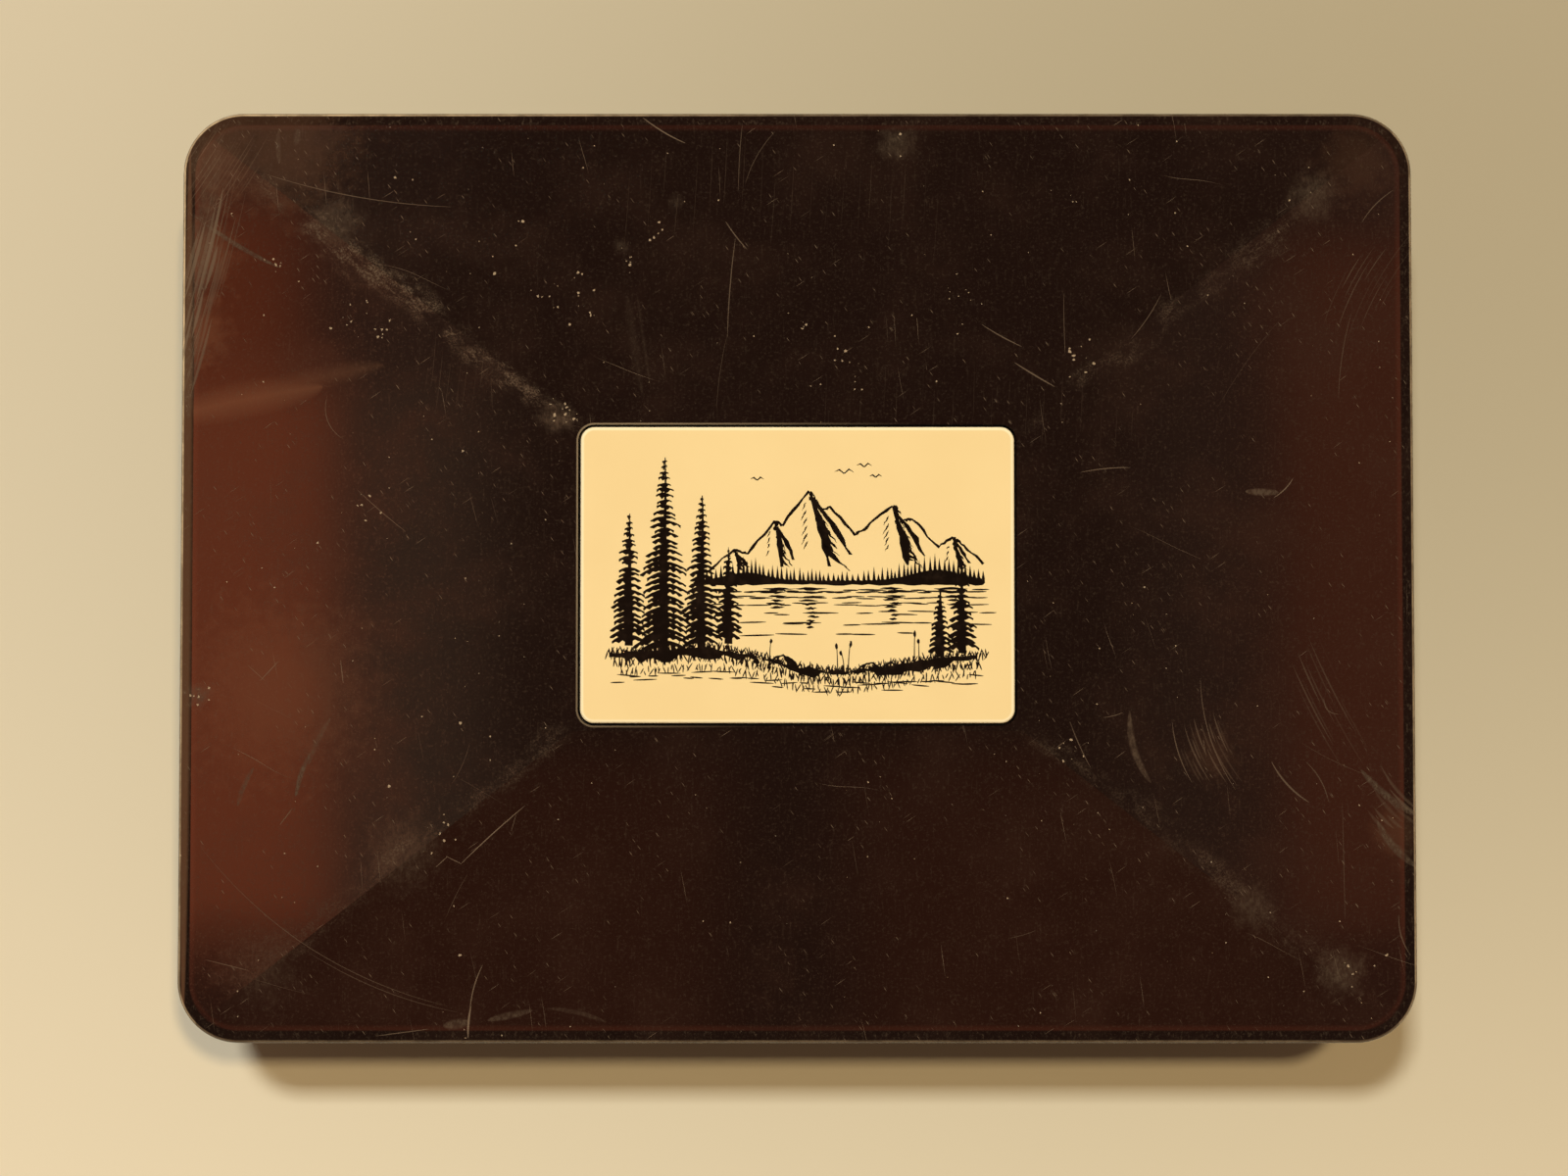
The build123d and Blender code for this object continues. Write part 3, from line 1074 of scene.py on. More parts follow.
@dataclass(frozen=True)
class Felt:
    """Short dark green felt."""

    name: str = "green_felt"
    deep: Colour = (0.0040, 0.0150, 0.0085, 1.0)
    bright: Colour = (0.0300, 0.0800, 0.0490, 1.0)
    pressed: Colour = (0.034, 0.078, 0.05, 1.0)
    lint_pale: Colour = (0.1, 0.17, 0.12, 1.0)
    lint_angles: tuple[float, ...] = (0.3, 1.3, 2.4)

    def build(self) -> bpy.types.Material:
        """Builds the material.

        Returns:
            The material.
        """
        material, graph, shader = new_material(self.name)
        solid = solid_place(graph)
        fibres = graph.noise(solid, 3.2, 5.0, 0.75, 1.2)
        clumps = graph.step(graph.noise(solid, 0.85, 4.0, 0.72, 0.8), 0.34, 0.66)
        patches = graph.step(graph.noise(solid, 0.09, 3.0, 0.6), 0.35, 0.70)
        nap = graph.math("MULTIPLY_ADD", clumps, 0.55, graph.times(fibres, 0.45))
        colour = graph.mix_colour(nap, self.deep, self.bright)
        colour = graph.mix_colour(graph.times(patches, 0.3), colour, self.pressed)
        lint = graph.strongest(
            Scratches().place(graph, Place=solid, Angle=angle, Length=1.6, Width=0.06,
                              Share=0.020).outputs[0]
            for angle in self.lint_angles)
        colour = graph.mix_colour(graph.times(lint, 0.7), colour, self.lint_pale)
        rough = graph.mix(fibres, 0.85, 0.98)
        bump = graph.add("ShaderNodeBump", Height=nap, Distance=MM * 0.35).outputs[0]
        graph.supply(shader, Base_Color=colour, Roughness=rough, Normal=bump, Specular_IOR_Level=0.15,
                     Sheen_Weight=0.12, Sheen_Roughness=0.5)
        return material


class StrokeField:
    """Tapered strokes repeated along a path by a Geometry Nodes tree."""

    title = "strokes along a path"
    sizes = (
        ("Spacing", "NodeSocketFloat"),
        ("Length", "NodeSocketFloat"),
        ("Length Spread", "NodeSocketFloat"),
        ("Width", "NodeSocketFloat"),
        ("Thickness", "NodeSocketFloat"),
        ("Angle", "NodeSocketFloat"),
        ("Angle Spread", "NodeSocketFloat"),
        ("Scatter", VECTOR),
        ("Seed", "NodeSocketInt"),
        ("Finish", "NodeSocketMaterial"),
    )

    def tree(self) -> bpy.types.NodeTree:
        """Gives the tree, and builds it when it is first asked for.

        Returns:
            The Geometry Nodes tree.
        """
        known = bpy.data.node_groups.get(self.title)
        if known:
            return known
        tree = bpy.data.node_groups.new(self.title, "GeometryNodeTree")
        tree.is_modifier = True
        tree.interface.new_socket("Path", in_out="INPUT", socket_type="NodeSocketGeometry")
        tree.interface.new_socket("Strokes", in_out="OUTPUT", socket_type="NodeSocketGeometry")
        for name, kind in self.sizes:
            tree.interface.new_socket(name, in_out="INPUT", socket_type=kind)
        graph = Graph(tree)
        given = tree.nodes.new("NodeGroupInput").outputs
        line = graph.add("GeometryNodeMeshToCurve", Mesh=given["Path"]).outputs[0]
        even = graph.add("GeometryNodeResampleCurve", {"mode": "LENGTH"}, Curve=line,
                         Length=given["Spacing"]).outputs[0]
        spots = graph.add("GeometryNodeCurveToPoints", {"mode": "EVALUATED"}, Curve=even).outputs[0]
        shift = self.chance(graph, "FLOAT_VECTOR", (-1.0, -1.0, -1.0), (1.0, 1.0, 1.0), given["Seed"])
        moved = graph.add("GeometryNodeSetPosition", Geometry=spots,
                          Offset=graph.vector("MULTIPLY", shift, given["Scatter"])).outputs[0]
        turn = self.chance(graph, "FLOAT", -1.0, 1.0, graph.math("ADD", given["Seed"], 1))
        angle = graph.math("ADD", given["Angle"], graph.times(turn, given["Angle Spread"]))
        more = self.chance(graph, "FLOAT", -1.0, 1.0, graph.math("ADD", given["Seed"], 2))
        length = graph.math("ADD", given["Length"], graph.times(more, given["Length Spread"]))
        halves = graph.scaled(graph.join(length, given["Width"], given["Thickness"]), 0.5)
        lens = graph.add("GeometryNodeMeshIcoSphere", Radius=1.0, Subdivisions=2).outputs[0]
        placed = graph.add("GeometryNodeInstanceOnPoints", Points=moved, Instance=lens,
                           Rotation=graph.join(0.0, 0.0, angle), Scale=halves).outputs[0]
        real = graph.add("GeometryNodeRealizeInstances", Geometry=placed).outputs[0]
        done = graph.add("GeometryNodeSetMaterial", Geometry=real, Material=given["Finish"]).outputs[0]
        tree.links.new(done, tree.nodes.new("NodeGroupOutput").inputs[0])
        return tree

    def chance(self, graph: Graph, kind: str, low: object, high: object, seed: object) -> Socket:
        """Adds a Random Value node of a kind and gives its value.

        Args:
            graph: The graph that the nodes go into.
            kind: The value's kind, FLOAT or FLOAT_VECTOR.
            low: The lowest value.
            high: The highest value.
            seed: The seed.

        Returns:
            The value's socket.
        """
        node = graph.add("FunctionNodeRandomValue", {"data_type": kind})
        lowest, highest, value = {"FLOAT_VECTOR": (0, 1, 0), "FLOAT": (2, 3, 1)}[kind]
        graph.feed(node.inputs[lowest], low)
        graph.feed(node.inputs[highest], high)
        graph.feed(node.inputs["Seed"], seed)
        return node.outputs[value]

    def along(self, path: list[tuple[float, float, float]], finish: bpy.types.Material,
              **sizes: object) -> bpy.types.Mesh:
        """Grows strokes along one path.

        Args:
            path: The path's points, in metres.
            finish: The strokes' material.
            **sizes: The tree's inputs by name; an underscore stands for a space.

        Returns:
            A plain mesh of all the strokes.
        """
        mesh = bpy.data.meshes.new("path")
        mesh.from_pydata(path, [(step, step + 1) for step in range(len(path) - 1)], [])
        carrier = bpy.data.objects.new("path", mesh)
        bpy.context.scene.collection.objects.link(carrier)
        modifier = carrier.modifiers.new("strokes", "NODES")
        modifier.node_group = self.tree()
        names = {socket.name: socket.identifier
                 for socket in modifier.node_group.interface.items_tree if socket.in_out == "INPUT"}
        modifier[names["Finish"]] = finish
        for name, value in sizes.items():
            modifier[names[name.replace("_", " ")]] = value
        result = evaluated_mesh(carrier)
        modifier.node_group = None
        bpy.data.objects.remove(carrier)
        return result


def evaluated_mesh(source: bpy.types.Object) -> bpy.types.Mesh:
    """Gives an object's mesh with its modifiers applied.

    Args:
        source: The object.

    Returns:
        A plain mesh.
    """
    bpy.context.view_layer.update()
    ready = source.evaluated_get(bpy.context.evaluated_depsgraph_get())
    return bpy.data.meshes.new_from_object(ready)


def new_object(name: str, mesh: bpy.types.Mesh, material: bpy.types.Material) -> bpy.types.Object:
    """Puts a mesh into the scene with one material.

    Args:
        name: The object's name.
        mesh: Its mesh, in metres and in the case's own frame.
        material: Its material.

    Returns:
        The new object.
    """
    thing = bpy.data.objects.new(name, mesh)
    bpy.context.scene.collection.objects.link(thing)
    mesh.materials.clear()
    mesh.materials.append(material)
    return thing


def new_piece(name: str, mesh: bpy.types.Mesh, finish: bpy.types.Material, body: Body) -> bpy.types.Object:
    """Makes a piece of a mesh, gives it its finish and lets it ride on its body.

    Args:
        name: The piece's name.
        mesh: Its mesh, in metres and in the case's own frame.
        finish: Its material.
        body: The body that it moves with.

    Returns:
        The new object.
    """
    piece = new_object(name, mesh, finish)
    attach(piece, body.value)
    log.info("made %s with %d faces", name, len(mesh.polygons))
    return piece


@dataclass
class PlaquePrint:
    """A line print on the plaque: pines, far peaks, a lake and its grassy shore."""

    thickness: float = 0.02
    sunk: float = 0.008
    unevenness: float = 0.004
    seed: int = 11
    shapes: bmesh.types.BMesh = field(default_factory=bmesh.new)
    chance: random.Random = field(init=False)
    face: float = field(init=False)

    def __post_init__(self) -> None:
        """Starts the random draws, and finds the height of the plaque's face."""
        self.chance = random.Random(self.seed)
        self.face = in_mm("lid_plaque")[1].z

    def build(self) -> bpy.types.Object:
        """Draws every motif and makes them one piece.

        Returns:
            The print's object.
        """
        finish = Ink().build()
        self.peaks()
        self.far_trees()
        self.lake(finish)
        self.pines()
        self.shore(finish)
        self.birds()
        bmesh.ops.recalc_face_normals(self.shapes, faces=self.shapes.faces)
        mesh = bpy.data.meshes.new("plaque_print")
        self.shapes.to_mesh(mesh)
        self.shapes.free()
        return new_piece("plaque_print", mesh, finish, Body.LID)

    def solid(self, outline: list[Place]) -> None:
        """Adds one closed flat shape of ink.

        Args:
            outline: The shape's corners in order, in millimetres on the plaque.
        """
        flat = [Vector((x, y, 0.0)) for x, y in outline]
        faces = tessellate_polygon([flat])
        low = (self.face - self.sunk) * MM
        high = low + (self.thickness + self.chance.uniform(0.0, self.unevenness)) * MM
        below = [self.shapes.verts.new((x * MM, y * MM, low)) for x, y in outline]
        above = [self.shapes.verts.new((x * MM, y * MM, high)) for x, y in outline]
        for a, b, c in faces:
            self.shapes.faces.new((above[a], above[b], above[c]))
            self.shapes.faces.new((below[c], below[b], below[a]))
        for here in range(len(outline)):
            there = (here + 1) % len(outline)
            self.shapes.faces.new((below[here], below[there], above[there], above[here]))

    def stroke(self, points: list[Place], widths: list[float], rough: float = 0.0) -> None:
        """Adds one stroke whose width changes along it.

        Args:
            points: The middle line's points, in millimetres.
            widths: The stroke's width at each point; the ends may be near zero.
            rough: How far its edges wander, in millimetres.
        """
        left, right = [], []
        for here, (point, width) in enumerate(zip(points, widths)):
            before = Vector(points[max(here - 1, 0)])
            after = Vector(points[min(here + 1, len(points) - 1)])
            run = (after - before).normalized()
            side = Vector((-run.y, run.x))
            reach = max(width, 0.02) / 2
            left.append(Vector(point) + side * (reach + self.chance.uniform(-rough, rough) * 0.5))
            right.append(Vector(point) - side * (reach + self.chance.uniform(-rough, rough) * 0.5))
        self.solid([tuple(p) for p in left] + [tuple(p) for p in reversed(right)])

    def wandering(self, start: Place, end: Place, steps: int, amount: float) -> list[Place]:
        """Gives points from one place to another that stray a little from the straight line.

        Args:
            start: The first point.
            end: The last point.
            steps: How many stretches there are between them.
            amount: How far a point may stray, in millimetres.

        Returns:
            The points, from the first to the last.
        """
        first, last = Vector(start), Vector(end)
        run = last - first
        side = Vector((-run.y, run.x)).normalized()
        points = []
        for step in range(steps + 1):
            share = step / steps
            stray = self.chance.uniform(-amount, amount) if 0 < step < steps else 0.0
            points.append(tuple(first + run * share + side * stray))
        return points

    def peaks(self) -> None:
        """Draws the far peaks with their shaded flanks."""
        ridge = [(-9.5, 0.2), (-6.6, 2.6), (-5.2, 2.2), (-2.4, 5.6), (-1.5, 5.2), (1.2, 8.7),
                 (2.6, 6.9), (3.4, 7.1), (6.0, 4.2), (7.2, 4.9), (9.9, 7.2), (11.0, 5.7), (12.0, 5.8),
                 (14.8, 2.9), (16.2, 3.9), (17.4, 3.1), (19.4, 1.1)]
        line = []
        for start, end in zip(ridge, ridge[1:]):
            line.extend(self.wandering(start, end, 5, 0.13)[:-1])
        line.append(ridge[-1])
        widths = [0.16 + 0.20 * self.chance.random() for _ in line]
        self.stroke(line, widths, 0.08)
        shaded = (
            ((1.2, 8.7), (3.6, 0.6), 4.6, 13),
            ((9.9, 7.2), (11.6, 0.8), 4.0, 11),
            ((-2.4, 5.6), (-1.6, 0.7), 2.6, 8),
            ((16.2, 3.9), (17.0, 0.7), 2.2, 6),
            ((-6.6, 2.6), (-6.0, 0.5), 1.8, 5),
        )
        for top, foot, spread, count in shaded:
            self.flank(Vector(top), Vector(foot), spread, count)
            self.shadow(Vector(top), Vector(foot), spread)

    def flank(self, top: Vector, foot: Vector, spread: float, count: int) -> None:
        """Shades a peak's right side with ragged wedges, and its left side with a few lines.

        Args:
            top: The peak's tip.
            foot: The middle of its foot.
            spread: How wide its shaded side is at the foot.
            count: How many wedges shade it.
        """
        for index in range(count):
            share = index / count
            start = top.lerp(foot, share * 0.86) + Vector((self.chance.uniform(-0.1, 0.15), 0.0))
            length = spread * (0.35 + 0.65 * share) * self.chance.uniform(0.65, 1.0)
            end = start + Vector((length * 0.62, -length * 0.72))
            end.y = max(end.y, foot.y - 0.2)
            width = self.chance.uniform(0.28, 0.52) * (1.0 - 0.35 * share)
            points = self.wandering(tuple(start), tuple(end), 6, 0.13)
            widths = [width * part for part in (0.5, 1.0, 0.9, 0.7, 0.5, 0.3)] + [0.02]
            self.stroke(points, widths, 0.12)
        for index in range(count // 2):
            share = (index + 1) / (count // 2 + 1)
            start = top.lerp(foot, share * 0.7) + Vector((-0.35 - share * spread * 0.3, -0.3))
            length = spread * 0.32 * self.chance.uniform(0.6, 1.1)
            end = start + Vector((-length * 0.45, -length * 0.85))
            end.y = max(end.y, foot.y)
            points = self.wandering(tuple(start), tuple(end), 4, 0.07)
            self.stroke(points, [0.03, 0.16, 0.13, 0.08, 0.02], 0.04)

    def shadow(self, top: Vector, foot: Vector, spread: float) -> None:
        """Fills the shaded side of a peak with two ragged dark faces.

        Args:
            top: The peak's tip.
            foot: The middle of its foot.
            spread: How wide its shaded side is at the foot.
        """
        for near, far, depth in ((0.0, 0.42, 0.95), (0.52, 0.80, 0.80)):
            first, last = [], []
            for step in range(9):
                share = step / 8
                y = top.y - 0.12 - (top.y - foot.y) * depth * share
                middle = top.x + (foot.x - top.x) * share * 0.8
                sway = spread * share * 0.9
                stray = self.chance.uniform(-0.16, 0.16) * (share + 0.15)
                first.append((middle + sway * near + stray, y))
                bulge = 0.25 + 0.75 * math.sin(math.pi * min(share * 1.15, 1.0))
                stray = self.chance.uniform(-0.20, 0.20) * (share + 0.1)
                last.append((middle + 0.14 + sway * (near + (far - near) * bulge) + stray, y))
            self.solid(list(reversed(first)) + last)

    def far_trees(self) -> None:
        """Draws the dark line of trees on the far shore."""
        upper, x = [], -10.6
        while x < 19.3:
            hill = 1.1 * math.exp(-((x + 5.5) / 3.0) ** 2) + 1.5 * math.exp(-((x - 14.5) / 3.6) ** 2)
            tall = 0.65 + 0.85 * self.chance.random() + hill
            ground = hill * 0.75
            upper.extend([(x, -0.62 + ground), (x + 0.16, -0.62 + tall), (x + 0.34, -0.55 + ground)])
            x += self.chance.uniform(0.36, 0.62)
        lower = [(19.4, -1.06)]
        while lower[-1][0] > -10.4:
            x = lower[-1][0] - self.chance.uniform(0.5, 1.1)
            lower.append((x, -1.05 + self.chance.uniform(-0.1, 0.1)))
        self.solid(upper + [(19.6, -0.8)] + lower + [(-10.9, -0.85)])

    def lake(self, finish: bpy.types.Material) -> None:
        """Draws the lake's ripples, and the broken reflections of the peaks.

        Args:
            finish: The ink.
        """
        rows = ((-1.7, -9.8, 19.3, 0.62, 1.7, 0.17), (-2.35, -8.8, 19.0, 1.05, 1.9, 0.15),
                (-3.1, -8.0, 18.6, 1.7, 2.2, 0.15), (-4.0, -6.5, 19.2, 2.4, 2.6, 0.16),
                (-5.1, -5.0, 17.5, 3.1, 3.0, 0.17), (-6.2, -4.0, 16.0, 4.0, 3.2, 0.18))
        for index, (y, left, right, spacing, length, width) in enumerate(rows):
            self.grow([(left, y), (right, y)], finish, spacing, length, length * 0.45, width, 0.0, 0.03,
                      (spacing * 0.5, 0.18, 0.0), index)
        for middle, bottom in ((1.4, -5.6), (10.0, -4.6), (-2.2, -3.8), (16.2, -3.4)):
            y, width = -1.45, 2.3
            while y > bottom:
                x = middle + self.chance.uniform(-0.3, 0.3)
                reach = width * self.chance.uniform(0.45, 0.8)
                points = self.wandering((x - reach, y), (x + reach, y), 6, 0.05)
                self.stroke(points, [0.02, 0.14, 0.24, 0.27, 0.22, 0.13, 0.02], 0.05)
                y -= self.chance.uniform(0.32, 0.46)
                width *= 0.86

    def grow(self, path: list[Place], finish: bpy.types.Material, spacing: float,
             length: float, length_spread: float, width: float, angle: float, angle_spread: float,
             scatter: tuple[float, float, float], seed: int) -> None:
        """Repeats tapered strokes along a path and adds them to the print.

        Args:
            path: The path on the plaque, in millimetres.
            finish: The ink.
            spacing: The distance between strokes, in millimetres.
            length: A stroke's length.
            length_spread: How much longer or shorter a stroke may be.
            width: A stroke's width.
            angle: Its direction, in radians from the plaque's long side.
            angle_spread: How far a stroke may turn from that.
            scatter: How far a stroke may lie from the path.
            seed: The seed of the tree's random values.
        """
        level = self.face * MM
        points = [(x * MM, y * MM, level) for x, y in path]
        mesh = StrokeField().along(
            points, finish, Spacing=spacing * MM, Length=length * MM, Length_Spread=length_spread * MM,
            Width=width * MM, Thickness=self.thickness * MM, Angle=angle, Angle_Spread=angle_spread,
            Scatter=tuple(value * MM for value in scatter), Seed=self.seed + seed * 7)
        self.shapes.from_mesh(mesh)
        bpy.data.meshes.remove(mesh)

    def pines(self) -> None:
        """Draws the near pines on the left, and a smaller group on the right."""
        trees = (
            (-17.6, -7.4, 6.4, 2.5),
            (-13.9, -8.0, 12.3, 3.5),
            (-10.0, -7.6, 8.3, 2.7),
            (-7.2, -7.2, 2.9, 1.9),
            (17.2, -8.2, 1.6, 1.9),
            (14.9, -8.6, -1.4, 1.5),
        )
        for x, foot, top, spread in trees:
            self.pine(x, foot, top, spread)

    def pine(self, x: float, foot: float, top: float, spread: float) -> None:
        """Draws one pine of drooping boughs.

        Args:
            x: The trunk's place along the plaque.
            foot: The trunk's lower end.
            top: The tree's tip.
            spread: How far its lowest boughs reach.
        """
        tall = top - foot
        trunk = self.wandering((x, foot), (x + self.chance.uniform(-0.1, 0.1), top), 8, 0.05)
        self.stroke(trunk, [0.85 * (1.0 - 0.90 * step / 8) for step in range(9)], 0.06)
        layers = max(8, round(tall / 0.62))
        for layer in range(layers):
            share = layer / (layers - 1)
            y = top - 0.25 - share * (tall - 1.5)
            reach = spread * (0.08 + 0.92 * share ** 0.85) * self.chance.uniform(0.72, 1.08)
            for side, fill in ((-1, 1.0), (1, 0.66)):
                height = y + self.chance.uniform(-0.12, 0.12)
                length = reach * self.chance.uniform(0.8, 1.05)
                self.bough(x, height, side, length, fill, share)

    def bough(self, x: float, y: float, side: int, reach: float, fill: float, share: float) -> None:
        """Draws one bough with needles hanging from it, thicker on the side away from the light.

        Args:
            x: The trunk's place along the plaque.
            y: The bough's height on the trunk.
            side: -1 for the left side of the trunk and 1 for the right.
            reach: How far the bough reaches.
            fill: How full of needles it is.
            share: How far down the tree it is, from 0 to 1.
        """
        droop = reach * (0.26 + 0.20 * share)
        thick = (0.34 + 0.46 * share) * fill
        count = max(3, round(reach / 0.34))
        upper, lower = [], []
        for step in range(count + 1):
            along = step / count
            rise = -droop * along ** 1.5 + 0.30 * reach * along * (1 - along) * 0.4
            upper.append((x + side * reach * along, y + rise + self.chance.uniform(0.0, 0.05)))
            body = thick * (1 - along * 0.82)
            hang = self.chance.uniform(0.10, 0.42) * (1 - along * 0.5) if step % 2 else 0.0
            lower.append((x + side * reach * (along - 0.03), y + rise - body - hang * (0.6 + 0.6 * fill)))
        outline = upper + list(reversed(lower))
        if side < 0:
            outline.reverse()
        self.solid(outline)

    def shore(self, finish: bpy.types.Material) -> None:
        """Draws the near shore with rocks, reeds and grass.

        Args:
            finish: The ink.
        """
        bank = [(-19.6, -8.4), (-15.0, -8.0), (-9.0, -7.7), (-4.2, -8.6), (0.5, -9.9), (5.0, -10.3),
                (9.5, -9.6), (14.0, -8.9), (19.5, -8.5)]
        line = []
        for start, end in zip(bank, bank[1:]):
            line.extend(self.wandering(start, end, 7, 0.10)[:-1])
        self.stroke(line, [0.10 + 0.42 * self.chance.random() ** 2 for _ in line], 0.10)
        for left, right, depth in ((-19.7, -4.6, 1.35), (-2.0, 3.4, 0.8), (7.0, 19.6, 1.15)):
            self.bank(line, left, right, depth)
        rows = (
            (0.15, 0.24, 1.05, 0.15, 31),
            (-0.85, 0.36, 0.95, 0.15, 32),
            (-1.9, 0.60, 0.80, 0.13, 33),
        )
        for offset, spacing, length, width, seed in rows:
            path = [(x * (1.0 + 0.03 * offset), y + offset) for x, y in bank]
            for lean, shift in ((1.25, 0), (1.85, 5)):
                self.grow(path, finish, spacing, length, 0.34, width, lean, 0.28, (0.25, 0.22, 0.0),
                          seed + shift)
        water_line = [(-19.0, -10.8), (-8.0, -10.6), (2.0, -11.9), (12.0, -11.7), (18.8, -10.8)]
        self.grow(water_line, finish, 1.0, 1.9, 0.8, 0.16, -0.02, 0.08, (0.5, 0.55, 0.0), 40)
        rocks = (
            (-1.6, -9.3, 1.5),
            (1.2, -10.2, 1.0),
            (7.6, -10.0, 1.35),
            (9.8, -9.7, 0.9),
            (-5.0, -8.9, 0.9),
        )
        for x, y, size in rocks:
            self.rock(x, y, size)
        reeds = ((4.2, -10.2), (4.9, -10.3), (5.3, -10.1), (12.2, -9.1), (12.7, -9.2), (-2.9, -9.0))
        for x, y in reeds:
            self.reed(x, y)

    def bank(self, line: list[Place], left: float, right: float, depth: float) -> None:
        """Fills the dark earth under a stretch of the shore line, with a torn lower edge.

        Args:
            line: The shore line's points, from left to right.
            left: Where the dark earth starts.
            right: Where it ends.
            depth: How far down it reaches in its middle.
        """
        upper = [point for point in line if left <= point[0] <= right]
        lower = []
        for here, (x, y) in enumerate(upper):
            share = here / (len(upper) - 1)
            reach = depth * math.sin(math.pi * share) ** 0.5 * self.chance.uniform(0.25, 1.0)
            lower.append((x + self.chance.uniform(-0.05, 0.05), y - 0.06 - reach))
        self.solid(list(reversed(upper)) + lower)

    def rock(self, x: float, y: float, size: float) -> None:
        """Draws one rock: its outline, its shaded side and a few cracks.

        Args:
            x: The rock's middle along the plaque.
            y: Its middle up the plaque.
            size: Half its width, in millimetres.
        """
        crown = [(-1.0, -0.35), (-0.86, 0.16), (-0.42, 0.46), (0.08, 0.60), (0.55, 0.36), (0.92, 0.08),
                 (1.05, -0.38)]
        points = [(x + px * size, y + py * size) for px, py in crown]
        line = []
        for start, end in zip(points, points[1:]):
            line.extend(self.wandering(start, end, 3, 0.05)[:-1])
        line.append(points[-1])
        self.stroke(line, [0.15 + 0.13 * self.chance.random() for _ in line], 0.04)
        shade = [(0.10, 0.50), (0.55, 0.32), (0.90, 0.04), (1.0, -0.36), (0.46, -0.40), (0.34, -0.12),
                 (0.52, 0.02), (0.22, 0.16)]
        self.solid([(x + px * size, y + py * size) for px, py in shade])
        for step in range(3):
            start = (x + (-0.62 + 0.3 * step) * size, y + (0.22 + 0.06 * step) * size)
            end = (start[0] + 0.12 * size, start[1] - (0.34 + 0.08 * step) * size)
            self.stroke(self.wandering(start, end, 3, 0.03), [0.03, 0.11, 0.09, 0.02])

    def reed(self, x: float, y: float) -> None:
        """Draws one reed with its seed head.

        Args:
            x: The foot's place along the plaque.
            y: Its place up the plaque.
        """
        tall = self.chance.uniform(2.3, 3.4)
        lean = self.chance.uniform(-0.4, 0.4)
        self.stroke([(x, y), (x + lean * 0.3, y + tall * 0.5), (x + lean, y + tall)], [0.13, 0.10, 0.07])
        head = [(x + lean * (0.85 + 0.15 * step), y + tall * (0.78 + 0.055 * step)) for step in range(5)]
        self.stroke(head, [0.03, 0.26, 0.30, 0.24, 0.03], 0.03)

    def birds(self) -> None:
        """Draws a few birds far off."""
        for x, y, size in ((4.9, 10.6, 1.0), (7.0, 11.3, 0.8), (8.2, 10.2, 0.65), (-4.2, 9.9, 0.7)):
            left = [(x - size, y + 0.20 * size), (x - 0.5 * size, y + 0.40 * size), (x, y)]
            right = [(x, y), (x + 0.5 * size, y + 0.46 * size), (x + size, y + 0.14 * size)]
            self.stroke(left, [0.03, 0.17, 0.13])
            self.stroke(right, [0.13, 0.17, 0.03])


